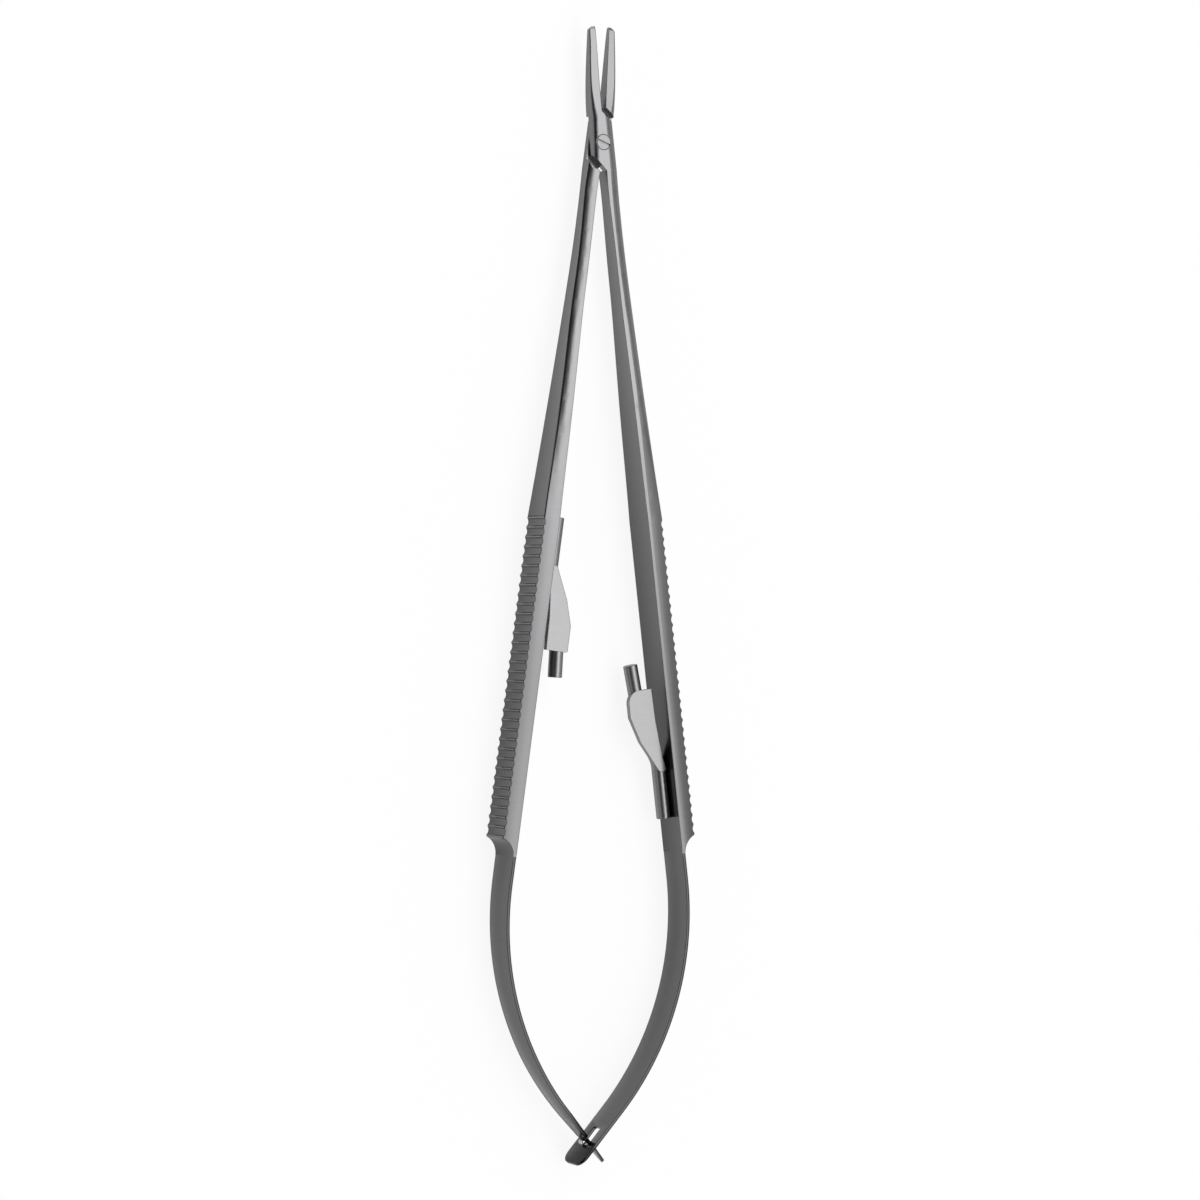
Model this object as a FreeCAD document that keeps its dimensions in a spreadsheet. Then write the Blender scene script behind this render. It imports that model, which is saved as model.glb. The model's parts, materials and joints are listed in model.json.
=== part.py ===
import FreeCAD, Part
import Sketcher
import math
import os
import re
from FreeCAD import Placement, Rotation, Vector

# Spring-handled surgical needle holder with straight jaws and a catch.
# It lies on its side: X is the squeezing direction, +Y points to the jaw tips, Z is the width of the handles.
# Each half is drawn in a frame of its own: the origin is on the pivot axis at mid width,
# the inner face of the handle lies in the plane X = 0 and runs along -Y.
# Lengths are in millimetres, angles in degrees.

SIZES = [
    ("open_half_angle", 3.8, "turn of each half from closed to open"),
    ("jaw_set_angle", 3.7, "angle between the gripping face and the inner face of the handle"),
    ("jaw_reach", 18.4, "pivot to jaw tip"),
    ("jaw_face_gap", 0.02, "gripping face to the middle plane when closed"),
    ("jaw_tip_depth", 1.12, "jaw tip, across the squeezing direction"),
    ("jaw_tip_width", 0.84, "jaw tip, along the width"),
    ("jaw_tip_round", 0.20, "rounding of the jaw back at the tip"),
    ("jaw_middle_reach", 13.2, "pivot to the middle of the jaw"),
    ("jaw_middle_depth", 1.46, "middle of the jaw, across the squeezing direction"),
    ("jaw_middle_width", 1.50, "middle of the jaw, along the width"),
    ("jaw_middle_round", 0.26, "rounding of the jaw back there"),
    ("jaw_root_reach", 8.0, "pivot to the jaw root"),
    ("jaw_root_depth", 1.74, "jaw root, across the squeezing direction"),
    ("jaw_root_width", 2.09, "jaw root, along the width"),
    ("jaw_root_round", 0.42, "rounding of the jaw back at its root"),
    ("jaw_nose_run", 0.43, "length of the rounded end of the jaw"),
    ("jaw_nose_depth", 0.58, "very end of the jaw, across the squeezing direction"),
    ("jaw_nose_width", 0.46, "very end of the jaw, along the width"),
    ("jaw_nose_round", 0.15, "rounding of the very end"),
    ("jaw_spare", 0.60, "steel beyond the gripping face before it is ground"),
    ("back_fullness", 1.02, "radius of a rounded back over its rounding"),
    ("joint_width", 2.90, "both laps together"),
    ("joint_reach", 4.0, "length of the full joint width above the pivot"),
    ("joint_back", 1.90, "pivot to the lap side behind the jaw"),
    ("joint_back_slope", 0.083, "lean of that side towards the jaw"),
    ("joint_back_round", 1.05, "rounding of that side"),
    ("joint_inner", 2.02, "pivot to the lap side on the handle side"),
    ("lap_top_reach", 4.97, "corner of the lap on the gripping face"),
    ("lap_top_mid", 3.70, "middle of the slanted lap end"),
    ("lap_mid_across", 1.23, "middle of the slanted lap end, from the pivot axis"),
    ("lap_top_low", 3.00, "outer corner of the slanted lap end"),
    ("lap_nose_across", 2.35, "outer corner of the slanted lap end, from the pivot axis"),
    ("joint_lower_reach", 4.6, "length of the full joint width below the pivot"),
    ("lap_corner_drop", 1.90, "start of the slanted lap edge below the pivot"),
    ("crotch_reach", 4.48, "pivot to the corner where the inner face starts"),
    ("lap_gap", 0.04, "gap between the two laps"),
    ("shoulder_gap", 0.32, "slanted lap end to the shoulder of the other half, open"),
    ("jaw_shoulder_across", 2.40, "shoulder behind the jaw, from the pivot axis"),
    ("jaw_shoulder_reach", 6.87, "shoulder behind the jaw, above the pivot"),
    ("seat_side_across", 3.33, "open side of the seat for the other lap"),
    ("seat_side_reach", 2.70, "open side of the seat for the other lap, above the pivot"),
    ("seat_side_drop", 5.08, "open side of the seat for the other lap, below the pivot"),
    ("shank_shoulder_across", 1.40, "shoulder in front of the shank, from the pivot axis"),
    ("shank_shoulder_drop", 4.28, "shoulder in front of the shank, below the pivot"),
    ("shank_shoulder_side", 2.65, "shoulder in front of the shank at the lap side"),
    ("seat_handle_side", 3.55, "open side of the seat towards the handle"),
    ("screw_diameter", 1.50, "threaded body of the pivot screw"),
    ("screw_head_diameter", 2.44, "flush head of the pivot screw"),
    ("screw_head_height", 0.80, "head height"),
    ("screw_edge_break", 0.06, "broken edge of the head"),
    ("thread_chamfer", 0.10, "end of the threaded body"),
    ("screw_slot_width", 0.24, "driver slot"),
    ("screw_slot_depth", 0.32, "driver slot"),
    ("screw_slot_angle", -20.0, "turn of the driver slot from the X axis"),
    ("running_clearance", 0.03, "radial clearance of the turning lap"),
    ("thread_clearance", 0.01, "radial clearance in the threaded lap"),
    ("waist_reach", 9.0, "pivot to the waist"),
    ("waist_width", 2.60, "width at the waist"),
    ("waist_depth", 1.98, "depth at the waist"),
    ("thin_reach", 14.5, "pivot to the thinnest part of the shank"),
    ("thin_width", 3.00, "width there"),
    ("thin_depth", 1.84, "depth there"),
    ("lower_reach", 25.0, "pivot to the start of the flare"),
    ("lower_width", 3.45, "width there"),
    ("lower_depth", 1.95, "depth there"),
    ("mid_reach", 37.6, "pivot to the middle of the flare"),
    ("mid_width", 4.67, "width there"),
    ("mid_depth", 2.10, "depth there"),
    ("upper_reach", 50.3, "pivot to the end of the flare"),
    ("upper_width", 5.60, "width there"),
    ("upper_depth", 2.45, "depth there"),
    ("camber_run", 1.34, "rounded part of the shank side, across the squeezing direction"),
    ("camber_drop", 0.45, "fall of the rounded side to the outer face"),
    ("upper_run", 1.80, "rounded part of the side at the end of the flare"),
    ("upper_fall", 0.22, "fall of its first part"),
    ("upper_radius", 5.0, "radius of its first part"),
    ("upper_drop", 0.48, "fall of the side to the outer face there"),
    ("upper_round_radius", 0.45, "radius of its second part"),
    ("grip_reach", 60.4, "pivot to the start of the grooved grip"),
    ("grip_width", 6.30, "width of handle and leaf"),
    ("grip_depth", 2.80, "inner face to groove crests"),
    ("side_bevel", 0.20, "fall of the bevelled side towards the outer face"),
    ("side_land", 0.50, "flat land beside the inner face"),
    ("side_round", 0.30, "rounding between bevelled side and outer face"),
    ("side_round_radius", 0.33, "radius of that rounding"),
    ("side_bow_radius", 12.0, "bow of the bevelled side"),
    ("groove_count", 33, "finger grooves on each handle"),
    ("groove_pitch", 1.53, "distance from crest to crest"),
    ("groove_depth", 0.38, "depth of each groove"),
    ("groove_land", 0.08, "narrow land left on each crest"),
    ("handle_reach", 113.8, "pivot to the start of the thin leaf"),
    ("shoulder_drop", 0.25, "step of the shoulder below the crests"),
    ("shoulder_run", 2.60, "length of the hollow shoulder"),
    ("shoulder_radius", 2.90, "hollow of the shoulder"),
    ("shoulder_exit", 1.0, "length in which the shoulder runs out of the crests"),
    ("leaf_thickness", 0.55, "spring leaf"),
    ("leaf_root_gap", 0.07, "slit in which the leaf bends at the handle"),
    ("leaf_bend_lead", 4.2, "straight part of the leaf before its bend"),
    ("leaf_bend_radius", 46.0, "middle of the leaf"),
    ("leaf_turn_angle", 49.0, "turn of the leaf from handle to tail"),
    ("right_tail_run", 4.3, "right leaf past the crossing"),
    ("left_tail_run", 4.2, "left leaf past the crossing"),
    ("tail_corner_radius", 1.9, "rounded end of the right leaf"),
    ("slot_width", 2.16, "slot in the right leaf"),
    ("slot_above", 2.9, "slot end towards the handle, from the crossing"),
    ("slot_below", 0.62, "slot end towards the tail, from the crossing"),
    ("slot_corner", 0.40, "rounded corners of the slot"),
    ("taper_lead", 2.0, "start of the taper before the bend"),
    ("taper_start", 4.0, "first width of the taper, past the start of the bend"),
    ("taper_start_width", 6.10, "left leaf at the start of its bend"),
    ("taper_middle", 27.0, "second width of the taper, past the start of the bend"),
    ("taper_mid_width", 5.25, "left leaf two thirds round its bend"),
    ("taper_late", 35.2, "third width of the taper, past the start of the bend"),
    ("taper_late_width", 4.40, "left leaf near the end of its bend"),
    ("taper_end_width", 3.00, "left leaf at its shoulders"),
    ("tongue_width", 1.60, "tongue that passes through the slot"),
    ("tongue_lead", 0.90, "length of the pointed end of the tongue"),
    ("tongue_lead_width", 1.40, "tongue where its end starts"),
    ("tongue_tip_width", 0.35, "end of the tongue"),
    ("tongue_shoulder", 1.05, "shoulders of the left leaf before the crossing"),
    ("tongue_round", 0.20, "broken corners of the shoulders"),
    ("tail_pin_diameter", 0.9, "pin across the left leaf"),
    ("tail_pin_length", 1.4, "pin across the left leaf"),
    ("tail_pin_gap", 0.06, "pin to the inner face of the right leaf"),
    ("tail_pin_seat", 0.04, "flat on the pin where it is brazed to the leaf"),
    ("rod_diameter", 2.30, "rod of the catch"),
    ("catch_offset", 24.1, "half distance from the nose of one catch to the nose of the other"),
    ("catch_from_leaf", 29.8, "start of the leaf to the middle between the catches"),
    ("catch_seat", 0.10, "flat on the fixed bar where it is brazed to the handle"),
    ("bar_length", 8.2, "fixed bar of the catch"),
    ("jog_angle", 24.0, "slope of the rod away from the handle"),
    ("jog_radius", 5.0, "bends of the rod"),
    ("pin_angle", 4.6, "slope of the free pin"),
    ("pin_standoff", 4.26, "inner face to the end of the free pin"),
    ("catch_length", 25.1, "nose to free end"),
    ("wing_thickness", 0.90, "forged wing of the catch"),
    ("wing_rise", 0.08, "wing above the rod"),
    ("wing_start", 7.9, "nose to the rounded start of the wing"),
    ("wing_nose_radius", 0.9, "rounded start of the wing"),
    ("wing_root", 0.30, "start of the wing from the handle"),
    ("wing_nose_across", 1.70, "rounded start of the wing, other side, from the handle"),
    ("wing_slope_reach", 12.7, "nose to the middle of the sloping edge"),
    ("wing_slope_part", 0.76, "reach of the wing there, as a part of the full reach"),
    ("wing_end", 21.0, "nose to the end of the wing"),
    ("wing_corner_reach", 16.8, "nose to the full reach of the wing"),
    ("right_wing_reach", 5.8, "reach of the right wing from the handle"),
    ("left_wing_reach", 5.3, "reach of the left wing from the handle"),
    ("right_wing_corner", 2.0, "corner of the right wing"),
    ("left_wing_corner", 0.35, "corner of the left wing"),
    ("wing_end_across", 1.50, "end of the wing on the rod"),
    ("wing_back_across", 1.35, "back edge of the wing on the rod"),
    ("wing_back_reach", 15.8, "nose to the back edge of the wing"),
    ("wing_bend_across", 0.70, "back edge of the wing at the rod's first bend"),
    ("wing_bend_reach", 9.7, "nose to the back edge at the rod's first bend"),
    ("rod_end_break", 0.14, "broken edges of the rod ends"),
    ("cut_margin", 1.0, "how far a cutting outline stands clear of the steel"),
]

# Worked out from the sizes above: cells of the same sheet that hold formulas.
DERIVED = [
    ("handle_angle", "open_half_angle + jaw_set_angle"),
    ("catch_middle", "handle_reach - catch_from_leaf"),
    ("leaf_bend_start", "handle_reach + leaf_bend_lead"),
    ("bend_centre_x", "leaf_thickness / 2 - leaf_bend_radius"),
    ("bend_end_x", "bend_centre_x + leaf_bend_radius * cos(leaf_turn_angle * 1 deg)"),
    ("bend_end_y", "-leaf_bend_start - leaf_bend_radius * sin(leaf_turn_angle * 1 deg)"),
    ("crossing_run", "(bend_end_x * cos(handle_angle * 1 deg) - bend_end_y * sin(handle_angle * 1 deg))"
                     " / sin((leaf_turn_angle - handle_angle) * 1 deg)"),
    ("crossing_x", "bend_end_x - crossing_run * sin(leaf_turn_angle * 1 deg)"),
    ("crossing_y", "bend_end_y - crossing_run * cos(leaf_turn_angle * 1 deg)"),
    ("camber_radius", "(camber_run * camber_run + camber_drop * camber_drop) / (2 * camber_drop)"),
    ("camber_first", "camber_run - side_round"),
    ("camber_fall", "camber_radius - sqrt(camber_radius * camber_radius - camber_first * camber_first)"),
    ("groove_chord", "groove_pitch - groove_land"),
    ("groove_radius", "(groove_chord * groove_chord / 4 + groove_depth * groove_depth) / (2 * groove_depth)"),
    ("rod_axis", "rod_diameter / 2 - catch_seat"),
]

doc = FreeCAD.newDocument("NeedleHolder")
sheet = doc.addObject("Spreadsheet::Sheet", "Sizes")
ALIAS = re.compile(r"\b(" + "|".join(name for name, *_ in SIZES + DERIVED) + r")\b")


def bound(text):
    """Expression text in which every size is read from the sheet."""
    return ALIAS.sub(r"Sizes.\1", text)


def fill_sheet():
    for row, (name, value, note) in enumerate(SIZES, start=1):
        sheet.set(f"A{row}", note)
        sheet.set(f"B{row}", str(value))
        sheet.setAlias(f"B{row}", name)
    for row, (name, formula) in enumerate(DERIVED, start=len(SIZES) + 1):
        sheet.set(f"B{row}", "=" + formula)
        sheet.setAlias(f"B{row}", name)
        doc.recompute()


def size(text):
    """Value of a size or of an expression made of sizes."""
    value = sheet.evalExpression(re.sub(r"\bSizes\.", "", bound(text)))
    return float(getattr(value, "Value", value))


def new_body(label):
    body = doc.addObject("PartDesign::Body", label)
    body.Label = label
    return body


def origin_item(body, role):
    return next(item for item in body.Origin.OriginFeatures if item.Role == role)


def new_sketch(body, name, plane, height="0"):
    """Sketch on an origin plane of the body, raised along the plane's normal."""
    sketch = body.newObject("Sketcher::SketchObject", name)
    sketch.AttachmentSupport = [(origin_item(body, plane), "")]
    sketch.MapMode = "FlatFace"
    if height != "0":
        sketch.setExpression("AttachmentOffset.Base.z", bound(height))
    return sketch


def pin_point(sketch, geometry, end, across, along):
    """Ties a vertex to its two distances from the sketch origin."""
    for kind, text in (("DistanceX", across), ("DistanceY", along)):
        index = sketch.addConstraint(Sketcher.Constraint(kind, -1, 1, geometry, end, size(text)))
        sketch.setExpression(f"Constraints[{index}]", bound(text))


def arc_through(start, end, radius):
    """Short arc between two points. A positive radius bulges to the right of the way from start to end."""
    chord = end - start
    reach = abs(radius)
    sagitta = reach - math.sqrt(max(reach * reach - chord.Length ** 2 / 4, 0))
    side = Vector(chord.y, -chord.x, 0).normalize() * math.copysign(sagitta, radius)
    return Part.Arc(start, (start + end) / 2 + side, end)


def draw_profile(sketch, corners):
    """Closed outline. A corner is (across, along) or (across, along, radius of the arc to the next one)."""
    places = [Vector(size(corner[0]), size(corner[1]), 0) for corner in corners]
    first = sketch.GeometryCount
    count = len(corners)
    for i, corner in enumerate(corners):
        start, end = places[i], places[(i + 1) % count]
        if len(corner) == 3:
            sketch.addGeometry(arc_through(start, end, size(corner[2])), False)
        else:
            sketch.addGeometry(Part.LineSegment(start, end), False)
    starts = [vertex_at(sketch, first + i, places[i]) for i in range(count)]
    for i, corner in enumerate(corners):
        following = (i + 1) % count
        sketch.addConstraint(Sketcher.Constraint("Coincident", first + i, 3 - starts[i],
                                                 first + following, starts[following]))
        pin_point(sketch, first + i, starts[i], corner[0], corner[1])
        if len(corner) == 3:
            text = corner[2].lstrip("-")
            index = sketch.addConstraint(Sketcher.Constraint("Radius", first + i, size(text)))
            sketch.setExpression(f"Constraints[{index}]", bound(text))


def vertex_at(sketch, geometry, place):
    """1 or 2: the end of the geometry that lies at the place."""
    return 1 if (sketch.getPoint(geometry, 1) - place).Length < 1e-6 else 2


def draw_circle(sketch, across, along, radius):
    centre = Vector(size(across), size(along), 0)
    index = sketch.addGeometry(Part.Circle(centre, Vector(0, 0, 1), size(radius)), False)
    pin_point(sketch, index, 3, across, along)
    constraint = sketch.addConstraint(Sketcher.Constraint("Radius", index, size(radius)))
    sketch.setExpression(f"Constraints[{constraint}]", bound(radius))


def pad(body, name, sketch, length, both_ways=False):
    feature = body.newObject("PartDesign::Pad", name)
    feature.Profile = sketch
    feature.SideType = "Symmetric" if both_ways else "One side"
    feature.setExpression("Length", bound(length))
    return feature


def pocket_through(body, name, sketch, both_ways=True):
    feature = body.newObject("PartDesign::Pocket", name)
    feature.Profile = sketch
    feature.SideType = "Symmetric" if both_ways else "One side"
    feature.Type = "ThroughAll"
    return feature


def pocket_depth(body, name, sketch, depth):
    feature = body.newObject("PartDesign::Pocket", name)
    feature.Profile = sketch
    feature.setExpression("Length", bound(depth))
    return feature


def edges_where(shape, test):
    """Names of the edges whose middle and direction pass the test."""
    names = []
    for number, edge in enumerate(shape.Edges, start=1):
        middle = edge.valueAt((edge.FirstParameter + edge.LastParameter) / 2)
        direction = edge.tangentAt((edge.FirstParameter + edge.LastParameter) / 2)
        if test(middle, direction):
            names.append(f"Edge{number}")
    return names


def fillet(body, name, base, edges, radius):
    """Rounds named edges of an earlier feature."""
    feature = body.newObject("PartDesign::Fillet", name)
    feature.Base = (base, edges)
    feature.setExpression("Radius", bound(radius))
    doc.recompute()
    return feature


def jaw_point(reach, depth):
    """Place given along the gripping face and behind it."""
    turn = "jaw_set_angle * 1 deg"
    return (f"({reach}) * sin({turn}) - ({depth}) * cos({turn})",
            f"({reach}) * cos({turn}) + ({depth}) * sin({turn})")


def back_side(along):
    """Lap side behind the jaw, at a height above the pivot."""
    return f"-joint_back + ({along}) * joint_back_slope"


def face_side(reach):
    """Gripping face, at a height above the pivot."""
    return f"({reach}) * tan(jaw_set_angle * 1 deg) - jaw_face_gap"


def crotch_outline():
    """Plan of what is cut off between the laps and along the inner face of the handle."""
    outside = "-grip_width"
    return [
        (outside, "-lap_corner_drop"),
        (back_side("-lap_corner_drop"), "-lap_corner_drop"),
        ("0", "-crotch_reach"),
        ("0", "-joint_lower_reach - cut_margin"),
        (outside, "-joint_lower_reach - cut_margin"),
    ]


def face_outline():
    """Plan of what is cut off along the gripping face and the slanted end of the lap."""
    outside = "grip_width"
    return [
        (outside, "lap_top_low"),
        ("lap_nose_across", "lap_top_low"),
        ("lap_mid_across", "lap_top_mid"),
        jaw_point("lap_top_reach", "jaw_face_gap"),
        jaw_point("jaw_reach + cut_margin", "jaw_face_gap"),
        (outside, "jaw_reach + cut_margin"),
    ]


# Falling side of a section: run, fall and radius of its first arc, then of the arc that ends it.
# The first run goes to the very side, and so does the last fall.
CAMBER = ("camber_run", "camber_fall", "camber_radius", "side_round", "camber_drop", "camber_radius")
SPARE = ("jaw_spare / 2", "jaw_spare / 8", "jaw_spare", "jaw_spare / 4", "jaw_spare / 3", "jaw_spare")
UPPER = ("upper_run", "upper_fall", "upper_radius", "side_round", "upper_drop", "upper_round_radius")
BEVEL = ("grip_depth - side_land", "side_bevel", "side_bow_radius",
         "side_round", "side_bevel + side_round", "side_round_radius")


def cambered_side(half, side, camber):
    """Upper side from its flat land over two arcs to the outer face, and the lower side back again."""
    run, fall, radius, last_run, drop, last_radius = camber
    return [
        (f"{side} - ({run})", half, f"-({radius})"),
        (f"{side} - ({last_run})", f"{half} - ({fall})", f"-({last_radius})"),
        (side, f"{half} - ({drop})"),
        (side, f"-({half} - ({drop}))", f"-({last_radius})"),
        (f"{side} - ({last_run})", f"-({half} - ({fall}))", f"-({radius})"),
        (f"{side} - ({run})", f"-{half}"),
    ]


def shank_section(sketch, width, depth, camber):
    """Section of shank or handle: inner face, narrow land, falling side, outer face."""
    half = f"({width}) / 2"
    draw_profile(sketch, [("0", half), *cambered_side(half, depth, camber), ("0", f"-{half}")])


def joint_section(sketch, back, side, width, back_round, camber):
    """Section of jaw or lap before its flat faces are cut: rounded back and falling side."""
    half = f"({width}) / 2"
    radius = f"({back_round}) * back_fullness"
    draw_profile(sketch, [
        (f"{back} + ({back_round})", half),
        *cambered_side(half, side, camber),
        (f"{back} + ({back_round})", f"-{half}", f"-{radius}"),
        (back, f"-{half} + ({back_round})"),
        (back, f"{half} - ({back_round})", f"-{radius}"),
    ])


def loft(body, name, sketches, ruled):
    feature = body.newObject("PartDesign::AdditiveLoft", name)
    feature.Profile = sketches[0]
    feature.Sections = sketches[1:]
    feature.Ruled = ruled
    return feature


def make_half(label, with_head):
    """Jaw, lap, shank and grooved handle of one half, in its own frame."""
    body = new_body(label)
    jaw_rows = [
        ("jaw_reach", "jaw_nose_depth", "jaw_nose_width", "jaw_nose_round"),
        ("jaw_reach - jaw_nose_run", "jaw_tip_depth", "jaw_tip_width", "jaw_tip_round"),
        ("jaw_middle_reach", "jaw_middle_depth", "jaw_middle_width", "jaw_middle_round"),
        ("jaw_root_reach", "jaw_root_depth", "jaw_root_width", "jaw_root_round"),
        ]
    jaw = []
    for number, (reach, depth, width, back_round) in enumerate(jaw_rows):
        sketch = new_sketch(body, f"{label}_jaw_{number}", "XZ_Plane", f"-({reach})")
        face = face_side(reach)
        joint_section(sketch, f"{face} - ({depth})", f"{face} + jaw_spare", width, back_round, SPARE)
        jaw.append(sketch)
    laps = []
    for name, along in (("_lap_end", "joint_reach"), ("_lap_start", "-joint_lower_reach")):
        sketch = new_sketch(body, label + name, "XZ_Plane", f"-({along})")
        joint_section(sketch, back_side(along), "joint_inner", "joint_width", "joint_back_round", CAMBER)
        laps.append(sketch)
    loft(body, label + "_laps", laps, ruled=True)
    loft(body, label + "_jaw", [laps[0], *reversed(jaw[1:])], ruled=False)
    loft(body, label + "_jaw_nose", [jaw[1], jaw[0]], ruled=True)

    crotch = new_sketch(body, label + "_crotch_view", "XY_Plane")
    draw_profile(crotch, crotch_outline())
    pocket_through(body, label + "_crotch", crotch)
    faces = new_sketch(body, label + "_face_view", "XY_Plane")
    draw_profile(faces, face_outline())
    pocket_through(body, label + "_gripping_face", faces)

    shank_rows = [
        ("joint_lower_reach", "joint_width", "joint_inner", CAMBER),
        ("waist_reach", "waist_width", "waist_depth", CAMBER),
        ("thin_reach", "thin_width", "thin_depth", CAMBER),
        ("lower_reach", "lower_width", "lower_depth", CAMBER),
        ("mid_reach", "mid_width", "mid_depth", CAMBER),
        ("upper_reach", "upper_width", "upper_depth", UPPER),
        ("grip_reach", "grip_width", "grip_depth", BEVEL),
    ]
    shank = []
    for number, (reach, width, depth, camber) in enumerate(shank_rows):
        sketch = new_sketch(body, f"{label}_shank_{number}", "XZ_Plane", reach)
        shank_section(sketch, width, depth, camber)
        shank.append(sketch)
    loft(body, label + "_shank", shank, ruled=False)

    grip = new_sketch(body, label + "_grip_section", "XZ_Plane", "grip_reach")
    shank_section(grip, "grip_width", "grip_depth", BEVEL)
    pad(body, label + "_grip", grip, "handle_reach - grip_reach")
    doc.recompute()

    shoulder = new_sketch(body, label + "_shoulder", "XY_Plane")
    draw_profile(shoulder, [
        ("leaf_thickness", "-handle_reach - cut_margin"),
        ("leaf_thickness", "-handle_reach", "-shoulder_radius"),
        ("grip_depth - shoulder_drop", "-handle_reach + shoulder_run"),
        ("grip_depth + cut_margin", "-handle_reach + shoulder_run + shoulder_exit"),
        ("grip_depth + cut_margin", "-handle_reach - cut_margin"),
    ])
    pocket_through(body, label + "_shoulder_cut", shoulder)

    lap = new_sketch(body, label + "_lap_view", "XY_Plane", "lap_gap / 2")
    draw_profile(lap, lap_outline())
    pocket_through(body, label + "_lap", lap, both_ways=False)

    hole = new_sketch(body, label + "_screw_hole", "XY_Plane")
    clearance = "running_clearance" if with_head else "thread_clearance"
    draw_circle(hole, "0", "0", f"screw_diameter / 2 + {clearance}")
    pocket_through(body, label + "_bore", hole)
    if with_head:
        seat = new_sketch(body, label + "_head_seat", "XY_Plane", "joint_width / 2")
        draw_circle(seat, "0", "0", "screw_head_diameter / 2 + running_clearance")
        pocket_depth(body, label + "_head_recess", seat, "screw_head_height + lap_gap / 2")

    groove = new_sketch(body, label + "_groove", "XY_Plane")
    draw_circle(groove, "grip_depth - groove_depth + groove_radius",
                "-grip_reach - groove_pitch / 2 - groove_land", "groove_radius")
    first = pocket_through(body, label + "_first_groove", groove)
    grooves = body.newObject("PartDesign::LinearPattern", label + "_grooves")
    grooves.Originals = [first]
    grooves.Direction = (origin_item(body, "Y_Axis"), [""])
    grooves.Reversed = True
    grooves.setExpression("Length", bound("groove_pitch * (groove_count - 1)"))
    grooves.setExpression("Occurrences", bound("groove_count"))
    body.Tip = grooves
    doc.recompute()
    return body


def lap_outline():
    """Plan of the seat for the other lap: the jaw shoulder, the open sides and the shank shoulder."""
    return [
        ("jaw_shoulder_across + shoulder_gap", "jaw_shoulder_reach + shoulder_gap"),
        ("-seat_side_across", "seat_side_reach + shoulder_gap"),
        ("-seat_side_across", "-seat_side_drop"),
        ("0", "-crotch_reach"),
        ("shank_shoulder_across", "-shank_shoulder_drop"),
        ("shank_shoulder_side", "-lap_corner_drop"),
        ("seat_handle_side", "0"),
    ]


def leaf_point(radius, run):
    """Place on the straight tail: run past the end of the bend, on the circle of the given radius."""
    turn = "leaf_turn_angle * 1 deg"
    return (f"bend_centre_x + ({radius}) * cos({turn}) - ({run}) * sin({turn})",
            f"-leaf_bend_start - ({radius}) * sin({turn}) - ({run}) * cos({turn})")


def make_leaf(label, tail_run):
    """Strip of even thickness: straight on from the handle, one long bend, straight tail."""
    inner = "leaf_bend_radius - leaf_thickness / 2"
    outer = "leaf_bend_radius + leaf_thickness / 2"
    end_run = f"crossing_run + {tail_run}"
    body = new_body(label)
    plan = new_sketch(body, label + "_plan", "XY_Plane")
    draw_profile(plan, [
        ("0", "-handle_reach - leaf_root_gap"),
        ("0", "-leaf_bend_start", f"-({inner})"),
        leaf_point(inner, "0"),
        leaf_point(inner, end_run),
        leaf_point(outer, end_run),
        (*leaf_point(outer, "0"), outer),
        ("leaf_thickness", "-leaf_bend_start"),
        ("leaf_thickness", "-handle_reach - leaf_root_gap"),
    ])
    strip = pad(body, label + "_strip", plan, "grip_width", both_ways=True)
    doc.recompute()
    return body, strip


def tail_sketch(body, name):
    """Sketch on the tail: origin at the crossing, X axis back towards the handle, Y along the width."""
    sketch = new_sketch(body, name, "YZ_Plane")
    sketch.AttachmentOffset = Placement(Vector(0, 0, 0), Rotation(Vector(0, 1, 0), -size("leaf_turn_angle")))
    sketch.setExpression("AttachmentOffset.Base.x", bound("crossing_y"))
    sketch.setExpression("AttachmentOffset.Base.z", bound("crossing_x"))
    sketch.setExpression("AttachmentOffset.Rotation.Angle", bound("-leaf_turn_angle * 1 deg"))
    return sketch


def make_right_leaf():
    """Full-width leaf with a slot near its rounded end."""
    body, strip = make_leaf("right_leaf", "right_tail_run")
    tail_end = -size("leaf_bend_start") - size("leaf_bend_radius * sin(leaf_turn_angle * 1 deg)")

    def end_corner(middle, direction):
        return abs(direction.z) < 0.1 and middle.y < tail_end - 2 and direction.y * direction.x < -0.1

    corners = edges_where(strip.Shape, end_corner)
    fillet(body, "right_leaf_end", strip, corners, "tail_corner_radius")
    slot = tail_sketch(body, "right_leaf_slot")
    draw_profile(slot, [
        ("slot_above - slot_corner", "slot_width / 2"),
        ("-slot_below + slot_corner", "slot_width / 2", "slot_corner"),
        ("-slot_below", "slot_width / 2 - slot_corner"),
        ("-slot_below", "-slot_width / 2 + slot_corner", "slot_corner"),
        ("-slot_below + slot_corner", "-slot_width / 2"),
        ("slot_above - slot_corner", "-slot_width / 2", "slot_corner"),
        ("slot_above", "-slot_width / 2 + slot_corner"),
        ("slot_above", "slot_width / 2 - slot_corner", "slot_corner"),
    ])
    pocket_through(body, "right_leaf_slotted", slot)
    doc.recompute()
    return body


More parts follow.
